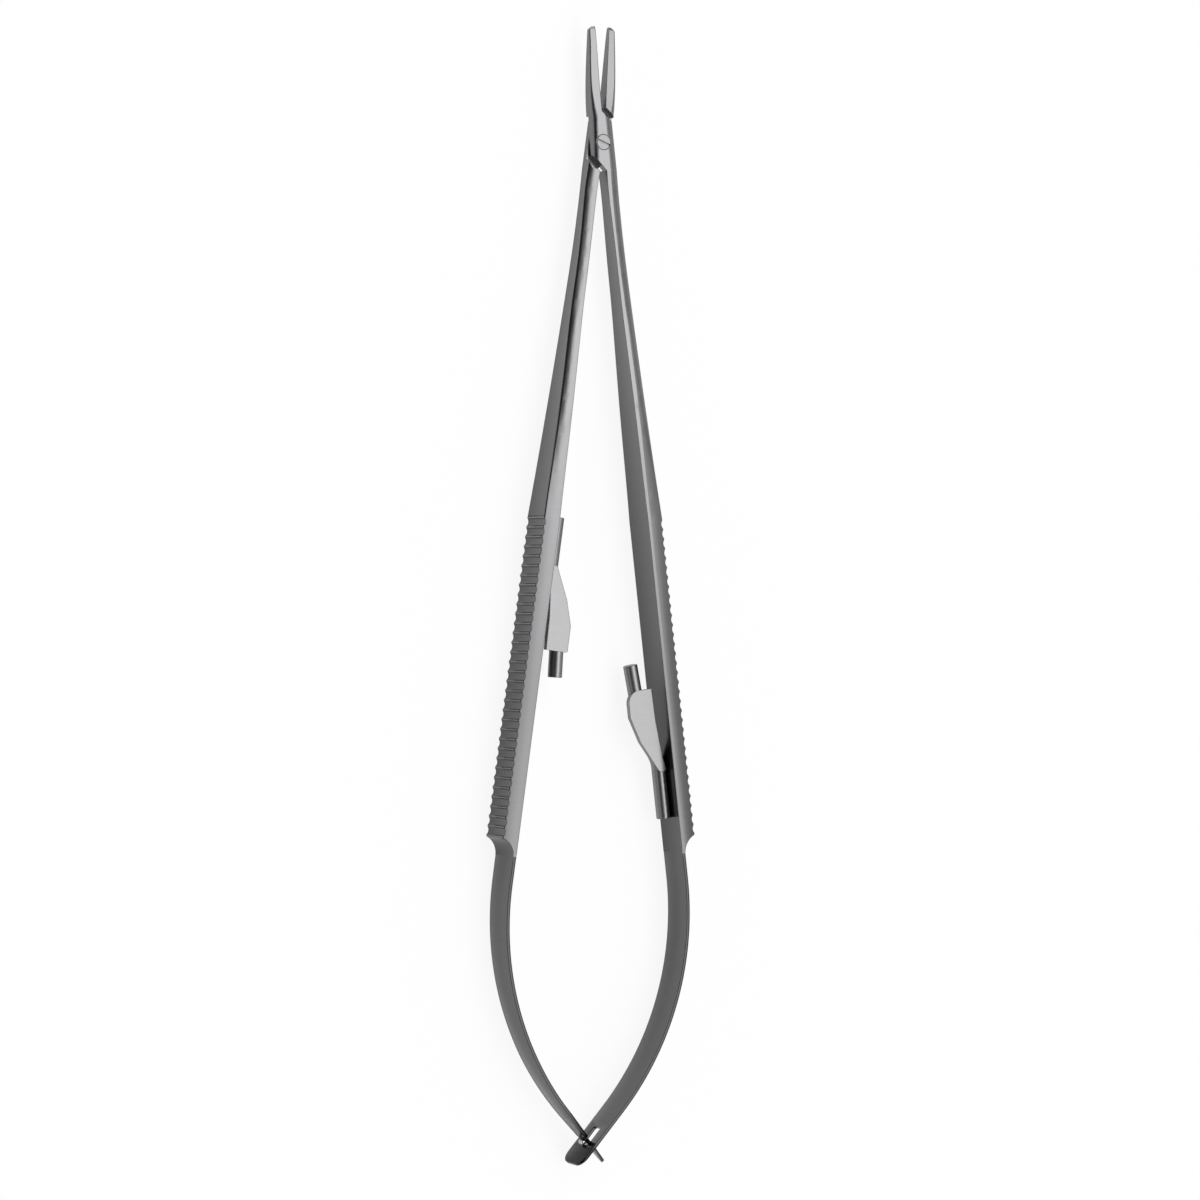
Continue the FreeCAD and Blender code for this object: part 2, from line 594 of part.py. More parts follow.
def make_left_leaf():
    """Leaf that tapers round its bend and ends in a tongue narrower than the slot."""
    body, strip = make_leaf("left_leaf", "left_tail_run")
    relief = new_sketch(body, "left_leaf_width_view", "YZ_Plane")
    shoulder_line = "crossing_y + tongue_shoulder * cos(leaf_turn_angle * 1 deg)"
    tip_line = "crossing_y - left_tail_run * cos(leaf_turn_angle * 1 deg)"
    outside = "grip_width"
    for sign in ("", "-"):
        rows = [
            ("-leaf_bend_start + taper_lead", outside),
            ("-leaf_bend_start + taper_lead", "grip_width / 2"),
            ("-leaf_bend_start - taper_start", "taper_start_width / 2"),
            ("-leaf_bend_start - taper_middle", "taper_mid_width / 2"),
            ("-leaf_bend_start - taper_late", "taper_late_width / 2"),
            (f"{shoulder_line} + tongue_round", "taper_end_width / 2"),
            (shoulder_line, "tongue_width / 2 + tongue_round"),
            (f"{shoulder_line} - tongue_round", "tongue_width / 2"),
            (f"{tip_line} + tongue_lead", "tongue_lead_width / 2"),
            (tip_line, "tongue_tip_width / 2"),
            (f"{tip_line} - cut_margin", "tongue_tip_width / 2"),
            (f"{tip_line} - cut_margin", outside),
        ]
        draw_profile(relief, [(along, f"{sign}({up})") for along, up in rows])
    pocket_through(body, "left_leaf_tapered", relief)
    doc.recompute()
    return body


def make_tail_pin():
    """Pin across the outer face of the left leaf, with a narrow flat where it is brazed on."""
    pin = doc.addObject("Part::Cylinder", "tail_pin_rod")
    pin.setExpression("Radius", bound("tail_pin_diameter / 2"))
    pin.setExpression("Height", bound("tail_pin_length"))
    flat = doc.addObject("Part::Box", "tail_pin_flat")
    flat.setExpression("Length", bound("tail_pin_diameter"))
    flat.setExpression("Width", bound("tail_pin_diameter * 2"))
    flat.setExpression("Height", bound("tail_pin_length"))
    flat.setExpression("Placement.Base.x", bound("tail_pin_seat - tail_pin_diameter * 1.5"))
    flat.setExpression("Placement.Base.y", bound("-tail_pin_diameter"))
    cut = doc.addObject("Part::Cut", "tail_pin")
    cut.Base = pin
    cut.Tool = flat
    cut.Label = "tail_pin"
    doc.recompute()
    return cut


def make_screw():
    """Turned screw with a flat cylindrical head and a driver slot, on the pivot axis."""
    body = new_body("pivot_screw")
    turned = new_sketch(body, "screw_profile", "XZ_Plane")
    top = "joint_width / 2"
    draw_profile(turned, [
        ("0", "-joint_width / 2"),
        ("screw_diameter / 2 - thread_chamfer", "-joint_width / 2"),
        ("screw_diameter / 2", "-joint_width / 2 + thread_chamfer"),
        ("screw_diameter / 2", f"{top} - screw_head_height"),
        ("screw_head_diameter / 2", f"{top} - screw_head_height"),
        ("screw_head_diameter / 2", f"{top} - screw_edge_break"),
        ("screw_head_diameter / 2 - screw_edge_break", top),
        ("0", top),
    ])
    turning = body.newObject("PartDesign::Revolution", "screw_turned")
    turning.Profile = turned
    turning.ReferenceAxis = (turned, ["V_Axis"])
    turning.Angle = 360
    slot = new_sketch(body, "screw_slot", "XY_Plane", top)
    slot.setExpression("AttachmentOffset.Rotation.Angle", bound("screw_slot_angle * 1 deg"))
    half = "screw_slot_width / 2"
    draw_profile(slot, [
        ("-screw_head_diameter", f"-{half}"),
        ("screw_head_diameter", f"-{half}"),
        ("screw_head_diameter", half),
        ("-screw_head_diameter", half),
    ])
    pocket_depth(body, "screw_slotted", slot, "screw_slot_depth")
    doc.recompute()
    return body


def rod_path(sketch):
    """Middle line of the catch rod: fixed bar, slope away from the handle, free pin."""
    jog = math.radians(size("jog_angle"))
    pin_slope = math.radians(size("pin_angle"))
    bend = size("jog_radius")
    bar_end = Vector(-size("rod_axis"), size("bar_length"), 0)
    pin_end = Vector(-size("pin_standoff"), size("catch_length"), 0)
    slope_way = Vector(-math.sin(jog), math.cos(jog), 0)
    pin_way = Vector(-math.sin(pin_slope), math.cos(pin_slope), 0)
    first_centre = bar_end + Vector(-bend, 0, 0)
    slope_start = first_centre + Vector(math.cos(jog), math.sin(jog), 0) * bend
    turn = Vector(pin_way.y, -pin_way.x, 0) - Vector(slope_way.y, -slope_way.x, 0)
    offset = pin_end - slope_start - turn * -bend
    spread = pin_way.x * slope_way.y - pin_way.y * slope_way.x
    pin_length = (offset.x * slope_way.y - offset.y * slope_way.x) / spread
    pin_start = pin_end - pin_way * pin_length
    second_centre = pin_start + Vector(pin_way.y, -pin_way.x, 0) * bend
    slope_end = second_centre - Vector(slope_way.y, -slope_way.x, 0) * bend

    bar = sketch.addGeometry(Part.LineSegment(Vector(bar_end.x, 0, 0), bar_end), False)
    middle = Vector(math.cos(jog / 2), math.sin(jog / 2), 0)
    lower = sketch.addGeometry(Part.Arc(bar_end, first_centre + middle * bend, slope_start), False)
    slope = sketch.addGeometry(Part.LineSegment(slope_start, slope_end), False)
    between = (jog + pin_slope) / 2
    outward = Vector(-math.cos(between), -math.sin(between), 0)
    upper = sketch.addGeometry(Part.Arc(slope_end, second_centre + outward * bend, pin_start), False)
    free = sketch.addGeometry(Part.LineSegment(pin_start, pin_end), False)

    sketch.addConstraint(Sketcher.Constraint("Vertical", bar))
    pin_point(sketch, bar, 1, "-rod_axis", "0")
    pin_point(sketch, free, 2, "-pin_standoff", "catch_length")
    lower_start = vertex_at(sketch, lower, bar_end)
    upper_start = vertex_at(sketch, upper, slope_end)
    for one, end, other, start in ((bar, 2, lower, lower_start), (lower, 3 - lower_start, slope, 1),
                                   (slope, 2, upper, upper_start), (upper, 3 - upper_start, free, 1)):
        sketch.addConstraint(Sketcher.Constraint("Tangent", one, end, other, start))
    for name, item, text in (("DistanceY", bar, "bar_length"), ("Radius", lower, "jog_radius"),
                             ("Radius", upper, "jog_radius")):
        index = sketch.addConstraint(Sketcher.Constraint(name, item, size(text)))
        sketch.setExpression(f"Constraints[{index}]", bound(text))
    for item, text in ((slope, "90 + jog_angle"), (free, "90 + pin_angle")):
        index = sketch.addConstraint(Sketcher.Constraint("Angle", item, math.radians(size(text))))
        sketch.setExpression(f"Constraints[{index}]", bound(f"({text}) * 1 deg"))


def make_catch(label, wing_reach, wing_corner):
    """Bent rod with a forged wing: its nose is at the origin and its free end points along +Y."""
    body = new_body(label)
    path = new_sketch(body, label + "_path", "XY_Plane")
    rod_path(path)
    ring = new_sketch(body, label + "_ring", "XZ_Plane")
    draw_circle(ring, "-rod_axis", "0", "rod_diameter / 2")
    rod = body.newObject("PartDesign::AdditivePipe", label + "_rod")
    rod.Profile = ring
    rod.Spine = path
    doc.recompute()
    radius = size("rod_diameter") / 2

    def rod_end(middle, direction):
        return middle.y < radius / 2 or middle.y > size("catch_length") - radius / 2

    fillet(body, label + "_round_ends", rod, edges_where(rod.Shape, rod_end), "rod_end_break")

    wing = new_sketch(body, label + "_wing_view", "XY_Plane", "rod_diameter / 2 + wing_rise - wing_thickness")
    draw_profile(wing, [
        ("-wing_root", "wing_start", "-wing_nose_radius"),
        ("-wing_nose_across", "wing_start"),
        (f"-{wing_reach} * wing_slope_part", "wing_slope_reach"),
        (f"-{wing_reach}", "wing_corner_reach"),
        (f"-{wing_reach}", f"wing_end - {wing_corner}", f"-{wing_corner}"),
        (f"-{wing_reach} + {wing_corner}", "wing_end"),
        ("-wing_end_across", "wing_end"),
        ("-wing_back_across", "wing_back_reach"),
        ("-wing_bend_across", "wing_bend_reach"),
    ])
    pad(body, label + "_wing", wing, "wing_thickness")
    doc.recompute()

    seat = new_sketch(body, label + "_seat_view", "XY_Plane")
    draw_profile(seat, [
        ("0", "-cut_margin"),
        ("cut_margin", "-cut_margin"),
        ("cut_margin", "catch_length"),
        ("0", "catch_length"),
    ])
    pocket_through(body, label + "_seat", seat)
    doc.recompute()
    return body


def spin(angle):
    return Rotation(Vector(0, 0, 1), angle)


def rest_places():
    """Placement of every piece when the instrument is open, with the pivot at the origin."""
    right = Placement(Vector(0, 0, 0), spin(size("handle_angle")))
    turned_over = Rotation(Vector(0, 1, 0), 180)
    left = Placement(Vector(0, 0, 0), spin(-size("handle_angle")).multiply(turned_over))
    nose = size("catch_middle + catch_offset")
    other_nose = size("catch_middle - catch_offset")
    reversed_way = Rotation(Vector(1, 0, 0), 180)
    turn = math.radians(size("leaf_turn_angle"))
    along_tail = Vector(-math.sin(turn), -math.cos(turn), 0)
    away_from_leaf = Vector(math.cos(turn), -math.sin(turn), 0)
    crossing = Vector(size("crossing_x"), size("crossing_y"), 0)
    crossing_angle = math.radians(2 * size("leaf_turn_angle - handle_angle"))
    stand = size("leaf_thickness + tail_pin_diameter") / 2 - size("tail_pin_seat")
    reach = size("(leaf_thickness + tail_pin_diameter) / 2 + tail_pin_gap")
    before = (reach - stand * math.cos(crossing_angle)) / math.sin(crossing_angle)
    pin_base = crossing - along_tail * before + away_from_leaf * stand
    pin_base.z = -size("tail_pin_length") / 2
    return {
        "right_arm": right,
        "right_leaf": right,
        "left_arm": left,
        "left_leaf": left,
        "pivot_screw": Placement(),
        "right_catch": right.multiply(Placement(Vector(0, -nose, 0), Rotation())),
        "left_catch": left.multiply(Placement(Vector(0, -other_nose, 0), reversed_way)),
        "tail_pin": left.multiply(Placement(pin_base, spin(-size("leaf_turn_angle")))),
    }


def check(pieces):
    """Stops if any feature failed or any piece isn't one valid solid."""
    for item in doc.Objects:
        if "Invalid" in item.State or "Error" in item.State:
            raise RuntimeError(f"{item.Name} failed: {item.State}")
    for piece in pieces:
        shape = piece.Shape
        if shape.isNull() or not shape.isValid() or len(shape.Solids) != 1:
            raise RuntimeError(f"{piece.Label} is not one valid solid")


fill_sheet()
pieces = [
    make_half("right_arm", with_head=True),
    make_half("left_arm", with_head=False),
    make_right_leaf(),
    make_left_leaf(),
    make_screw(),
    make_tail_pin(),
    make_catch("right_catch", "right_wing_reach", "right_wing_corner"),
    make_catch("left_catch", "left_wing_reach", "left_wing_corner"),
]
places = rest_places()
for piece in pieces:
    piece.Placement = places[piece.Label]
doc.recompute()
check(pieces)

# The row's origin is under the middle of the whole instrument.
whole = Part.makeCompound([piece.Shape for piece in pieces]).BoundBox
shift = Vector(-whole.Center.x, -whole.Center.y, -whole.ZMin)
for piece in pieces:
    piece.Placement = Placement(shift, Rotation()).multiply(places[piece.Label])
doc.recompute()
check(pieces)

os.makedirs("parts", exist_ok=True)
for piece in pieces:
    piece.Shape.exportStep(f"parts/{piece.Label}.step")
    box = piece.Shape.BoundBox
    extent = f"{box.XLength:.2f} x {box.YLength:.2f} x {box.ZLength:.2f} mm"
    print(f"{piece.Label}: {extent}, {piece.Shape.Volume:.1f} mm3")
print(f"pivot at {shift.x:.4f}, {shift.y:.4f}, {shift.z:.4f}")
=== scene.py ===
"""Looks of a spring-handled surgical needle holder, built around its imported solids."""

import json
import math

import bmesh
import bpy
from bpy.props import FloatProperty, FloatVectorProperty, PointerProperty
from mathutils import Matrix, Vector


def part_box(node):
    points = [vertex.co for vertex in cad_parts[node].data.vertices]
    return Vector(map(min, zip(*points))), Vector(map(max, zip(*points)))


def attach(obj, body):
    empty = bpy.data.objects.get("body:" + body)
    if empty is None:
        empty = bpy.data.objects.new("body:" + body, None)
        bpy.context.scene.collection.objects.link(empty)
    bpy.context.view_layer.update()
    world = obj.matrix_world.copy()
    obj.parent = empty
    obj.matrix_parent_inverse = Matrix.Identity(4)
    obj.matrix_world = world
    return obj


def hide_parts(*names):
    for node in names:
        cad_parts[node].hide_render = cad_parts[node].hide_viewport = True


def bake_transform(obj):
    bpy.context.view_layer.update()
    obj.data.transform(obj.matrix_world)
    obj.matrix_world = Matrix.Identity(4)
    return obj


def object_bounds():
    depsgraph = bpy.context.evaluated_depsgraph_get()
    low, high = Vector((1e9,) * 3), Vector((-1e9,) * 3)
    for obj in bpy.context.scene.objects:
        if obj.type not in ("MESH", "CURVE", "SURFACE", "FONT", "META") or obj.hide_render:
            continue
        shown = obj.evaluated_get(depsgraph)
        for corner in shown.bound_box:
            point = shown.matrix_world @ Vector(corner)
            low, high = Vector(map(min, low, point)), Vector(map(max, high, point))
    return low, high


bl_info = {
    "name": "Surgical needle holder",
    "version": (1, 0, 0),
    "blender": (4, 5, 0),
    "location": "View3D > Sidebar > Needle holder",
    "description": "Spring leaves, steel finishes and studio of a spring-handled needle holder",
    "category": "Object",
}

MM = 0.001
WELD = 1e-4 * MM
SAME_PLACE = 1e-3 * MM
SMOOTH_ANGLE = math.radians(30)
SHARP_ANGLE = math.radians(40)
# Point in the middle of the picture.
CAMERA_TARGET = Vector((1.05, -0.74, 3.15)) * MM
# Tone of the light tent by the half turn from the right side (0) over the top (0.5) to the left side (1).
# Below the right side it keeps its first tone.
TENT_WALL = (
    (0.00, 0.27), (0.13, 0.29), (0.19, 0.16), (0.25, 0.27), (0.305, 0.31), (0.325, 0.95), (0.36, 1.0),
    (0.40, 0.90), (0.44, 0.74), (0.475, 0.52), (0.50, 0.34), (0.525, 0.20), (0.55, 0.10), (0.60, 0.04),
    (0.66, 0.015), (0.74, 0.01), (0.82, 0.12), (0.90, 0.26),
)

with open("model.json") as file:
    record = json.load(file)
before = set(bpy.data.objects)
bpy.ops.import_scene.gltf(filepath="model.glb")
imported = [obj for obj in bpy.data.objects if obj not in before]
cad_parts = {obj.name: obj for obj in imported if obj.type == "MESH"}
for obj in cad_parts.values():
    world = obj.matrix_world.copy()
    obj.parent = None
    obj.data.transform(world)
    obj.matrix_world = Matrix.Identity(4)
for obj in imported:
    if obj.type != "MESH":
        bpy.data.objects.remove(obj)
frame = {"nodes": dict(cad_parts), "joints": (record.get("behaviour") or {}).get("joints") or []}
cad_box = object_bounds()
joints = {joint["name"]: joint for joint in frame["joints"]}
PIVOT = Vector(joints["jaw_pivot"]["pos_m"])
ROOT = Vector(joints["right_leaf_flex"]["pos_m"])


def linear(hex_colour):
    """Linear RGB of an sRGB hex value such as "8F8F91"."""
    parts = [int(hex_colour[i:i + 2], 16) / 255 for i in (0, 2, 4)]
    return [part / 12.92 if part <= 0.04045 else ((part + 0.055) / 1.055) ** 2.4 for part in parts]


def grey(value):
    return (value, value, value)


def length(name, description, default):
    return FloatProperty(name=name, description=description, default=default, subtype="DISTANCE",
                         unit="LENGTH", precision=5)


def angle(name, description, degrees):
    return FloatProperty(name=name, description=description, default=math.radians(degrees),
                         subtype="ANGLE", unit="ROTATION")


def share(name, description, default):
    return FloatProperty(name=name, description=description, default=default, min=0, max=1,
                         subtype="FACTOR")


def colour(name, description, hex_colour):
    return FloatVectorProperty(name=name, description=description, default=linear(hex_colour),
                               subtype="COLOR", size=3, min=0, max=1)


class LeafSizes(bpy.types.PropertyGroup):
    """The two spring leaves, each one piece of steel with its handle."""
    handle_angle: angle("Handle angle", "Turn of each handle from the middle line at rest", 7.5)
    handle_reach: length("Handle reach", "Pivot to the start of the leaf", 113.8 * MM)
    root_sink: length("Root sink", "Start of the leaf inside its handle", 0.05 * MM)
    thickness: length("Thickness", "Thickness of the leaves", 0.55 * MM)
    width: length("Width", "Width of the leaves at the handle", 6.3 * MM)
    straight: length("Straight part", "Straight part of the leaf before its bend", 4.2 * MM)
    bend_radius: length("Bend radius", "Radius of the leaf's long bend at its middle plane", 46 * MM)
    bend_angle: angle("Bend angle", "Turn of the leaf from handle to tail", 49)
    right_tail: length("Right tail", "Right leaf past the crossing", 4.3 * MM)
    left_tail: length("Left tail", "Left leaf past the crossing", 4.2 * MM)
    end_radius: length("End radius", "Rounded corners of the right leaf's end", 1.9 * MM)
    slot_width: length("Slot width", "Slot in the right leaf", 2.16 * MM)
    slot_before: length("Slot before", "Slot from the crossing towards the handle", 2.9 * MM)
    slot_after: length("Slot after", "Slot from the crossing towards the end", 0.62 * MM)
    slot_corner: length("Slot corners", "Rounded corners of the slot", 0.4 * MM)
    edge_break: length("Edge break", "Rounding of the ground edges", 0.05 * MM)
    flex_run: length("Flex run", "Length from the handle in which the leaf bends with the joint", 26 * MM)
    shoulder_before: length("Shoulder before", "Left leaf's shoulder before the crossing", 1.05 * MM)
    shoulder_corner: length("Shoulder corners", "Rounded corners of the shoulder", 0.2 * MM)
    shoulder_width: length("Shoulder width", "Left leaf at its shoulder", 3.0 * MM)
    tongue_width: length("Tongue width", "Tongue at the shoulder", 1.6 * MM)
    tongue_in_slot: length("Tongue in the slot", "Tongue where it leaves the slot", 1.5 * MM)
    tongue_tip: length("Tongue tip", "Tongue at its very end", 0.3 * MM)


class SteelFinish(bpy.types.PropertyGroup):
    """Colours and grain of the steels."""
    handle_colour: colour("Handles", "Satin-ground stainless steel", "79797A")
    leaf_colour: colour("Leaves", "Satin-ground spring steel", "656566")
    catch_colour: colour("Catches", "Glass-bead blasted steel", "878788")
    screw_colour: colour("Screw", "Turned steel", "7F7F80")
    pin_colour: colour("Tail pin", "Bright drawn wire", "D2D2D3")
    handle_roughness: share("Handle roughness", "Roughness of the satin grind", 0.19)
    leaf_roughness: share("Leaf roughness", "Roughness of the leaves", 0.20)
    catch_roughness: share("Catch roughness", "Roughness of the blasted catches", 0.33)
    screw_roughness: share("Screw roughness", "Roughness of the faced screw", 0.27)
    pin_roughness: share("Pin roughness", "Roughness of the drawn wire", 0.2)
    # Painted shade: the grips are painted darker than the shanks.
    grip_painted_shade: share("Grip shade", "Tone of the grips beside that of the shanks", 0.66)
    # Painted highlight on each groove's crest, and painted shade at the crest's feet.
    crest_painted_highlight: share("Crest painted highlight", "Tone of the crests, where 0.5 is the steel's own", 0.85)
    crest_foot_painted_shade: share("Crest foot", "Tone beside the crests, where 0.5 is the steel's own", 0.2)
    first_crest: length("First crest", "Pivot to the first crest", 60.48 * MM)
    crest_pitch: length("Crest pitch", "Crest to crest", 1.53 * MM)
    crests: FloatProperty(name="Crests", description="Number of crests on each grip", default=34,
                          min=0)
    # Painted shade: the leaves' narrow faces are painted darker than the wide ones.
    leaf_edge_painted_shade: share("Leaf edge shade", "Tone of the leaves' narrow faces beside the wide", 0.45)
    # Painted shade: the leaves' tails are painted darker.
    tail_painted_shade: share("Tail shade", "Tone of the leaves' tails beside that of the leaves", 0.3)
    # Painted highlight on the tongue where it leaves the slot.
    tongue_painted_highlight: FloatProperty(name="Tongue painted highlight", description="Tone of the tongue where the slot rubs it",
                             default=1.6, min=0)
    grit_line: length("Grit line", "Distance between the lines of the grinding belt", 0.16 * MM)
    ring_pitch: length("Ring pitch", "Distance between the rings of the facing tool", 0.237 * MM)
    edge_round: length("Edge rounding", "Broken edges of the ground pieces", 0.17 * MM)
    sharp_run: length("Sharp run", "No rounding within this distance of the leaf's root", 0.15 * MM)
    round_run: length("Round run", "Full rounding from this distance of the leaf's root", 0.6 * MM)


class StudioSettings(bpy.types.PropertyGroup):
    """Floor, light and camera."""
    floor_colour: colour("Floor", "Plain pale floor", "F6F6F6")
    floor_size: FloatProperty(name="Floor size", description="Side of the square floor", default=4,
                              subtype="DISTANCE", unit="LENGTH")
    floor_gap: length("Floor gap", "Floor below the instrument", 0.02 * MM)
    seen_white: share("White background", "Share of plain white in the floor for the camera", 0.9)
    mirrored_white: share("Mirrored background", "Share of plain white in the floor for the steel", 0.45)
    tent_strength: FloatProperty(name="Light tent", description="Brightness of the tent's brightest wall",
                                 default=3.3, min=0)
    camera_turn: angle("Camera turn", "Turn of the camera to the left of straight above", 28)
    camera_roll: angle("Camera roll", "Turn of the camera about its own axis", 0.69)
    camera_distance: length("Camera distance", "Camera to the instrument", 650 * MM)
    picture_height: length("Picture height", "What the picture shows from top to bottom", 190.5 * MM)


def add_node(tree, kind, settings=(), inputs=()):
    """Adds one node with its settings and its inputs, each a value or an output to link."""
    made = tree.nodes.new(kind)
    for name, value in settings:
        setattr(made, name, value)
    for name, value in inputs:
        if isinstance(value, bpy.types.NodeSocket):
            tree.links.new(value, made.inputs[name])
        else:
            made.inputs[name].default_value = value
    return made


def new_material(name):
    """Empty node material with its output; returns the material, its tree and the output."""
    material = bpy.data.materials.new(name)
    material.use_nodes = True
    tree = material.node_tree
    tree.nodes.clear()
    return material, tree, add_node(tree, "ShaderNodeOutputMaterial")


def ramp_colours(ramp, stops):
    """Sets the stops (place, linear colour) of a colour ramp."""
    elements = ramp.color_ramp.elements
    while len(elements) > len(stops):
        elements.remove(elements[-1])
    while len(elements) < len(stops):
        elements.new(1.0)
    for element, (place, value) in zip(elements, stops):
        element.position = place
        element.color = (*value, 1)


def shades_of(base, tone):
    """The base colour at the given tone, up to plain white."""
    return [min(1, part * tone) for part in base]


def satin_ground_stainless(name, base, roughness, side, finish):
    """Martensitic stainless steel ground with a fine belt across the length.

    The eye gets a soft silky grey with short cross lines, and dark soft edges where the belt has broken them.
    The real lines are about 0.02 mm apart. They are drawn at the spacing that the picture can show. Handle
    and leaf are one piece of steel, so no edge is rounded beside the leaf's root. side is 1 for the handle,
    which lies on the +Y side of the root, and -1 for the leaf.

    Returns the material with its tree, its object coordinates whole and apart, its tint and its shader.
    """
    material, tree, output = new_material(name)
    place = add_node(tree, "ShaderNodeTexCoord")
    apart = add_node(tree, "ShaderNodeSeparateXYZ", [], [("Vector", place.outputs["Object"])])
    # A grinding line is about 3 mm long, so the pattern is stretched that much across the length.
    lines_place = add_node(tree, "ShaderNodeMapping", [("vector_type", "POINT")],
                           [("Vector", place.outputs["Object"]), ("Scale", (0.06, 1.0, 0.06))])
    lines = add_node(tree, "ShaderNodeTexNoise", [("noise_dimensions", "3D")],
                     [("Vector", lines_place.outputs["Vector"]), ("Scale", 1 / finish.grit_line),
                      ("Detail", 3.0), ("Roughness", 0.65)])
    # Slow differences of the grind, about 6 mm from light to dark.
    clouds = add_node(tree, "ShaderNodeTexNoise", [("noise_dimensions", "3D")],
                      [("Vector", place.outputs["Object"]), ("Scale", 1 / (6 * MM)), ("Detail", 2.0)])
    tint = add_node(tree, "ShaderNodeValToRGB", [], [("Fac", lines.outputs["Fac"])])
    ramp_colours(tint, [(0.30, shades_of(base, 0.96)), (0.70, shades_of(base, 1.03))])
    rough_lines = add_node(tree, "ShaderNodeMapRange", [],
                           [("Value", lines.outputs["Fac"]), ("From Min", 0.3), ("From Max", 0.7),
                            ("To Min", roughness * 0.92), ("To Max", roughness * 1.08)])
    rough = add_node(tree, "ShaderNodeMath", [("operation", "MULTIPLY_ADD")],
                     [(0, clouds.outputs["Fac"]), (1, 0.03), (2, rough_lines.outputs["Result"])])
    radius = add_node(tree, "ShaderNodeMapRange", [],
                      [("Value", apart.outputs["Y"]), ("From Min", ROOT.y + side * finish.sharp_run),
                       ("From Max", ROOT.y + side * finish.round_run), ("To Min", 0.0),
                       ("To Max", finish.edge_round)])
    rounded = add_node(tree, "ShaderNodeBevel", [("samples", 6)], [("Radius", radius.outputs["Result"])])
    bump = add_node(tree, "ShaderNodeBump", [],
                    [("Strength", 0.10), ("Distance", 0.003 * MM), ("Height", lines.outputs["Fac"]),
                     ("Normal", rounded.outputs["Normal"])])
    shader = add_node(tree, "ShaderNodeBsdfPrincipled", [],
                      [("Metallic", 1.0), ("Roughness", rough.outputs["Value"]),
                       ("Normal", bump.outputs["Normal"])])
    tree.links.new(shader.outputs["BSDF"], output.inputs["Surface"])
    return material, tree, place, apart, tint, shader


def shade_metal(tree, tint, first, second, shader):
    """Gives the metal its tint, scaled by two factors of painted light and shade."""
    shade = add_node(tree, "ShaderNodeMath", [("operation", "MULTIPLY")], [(0, first), (1, second)])
    shaded = add_node(tree, "ShaderNodeVectorMath", [("operation", "SCALE")],
                      [("Vector", tint.outputs["Color"]), ("Scale", shade.outputs["Value"])])
    tree.links.new(shaded.outputs["Vector"], shader.inputs["Base Color"])


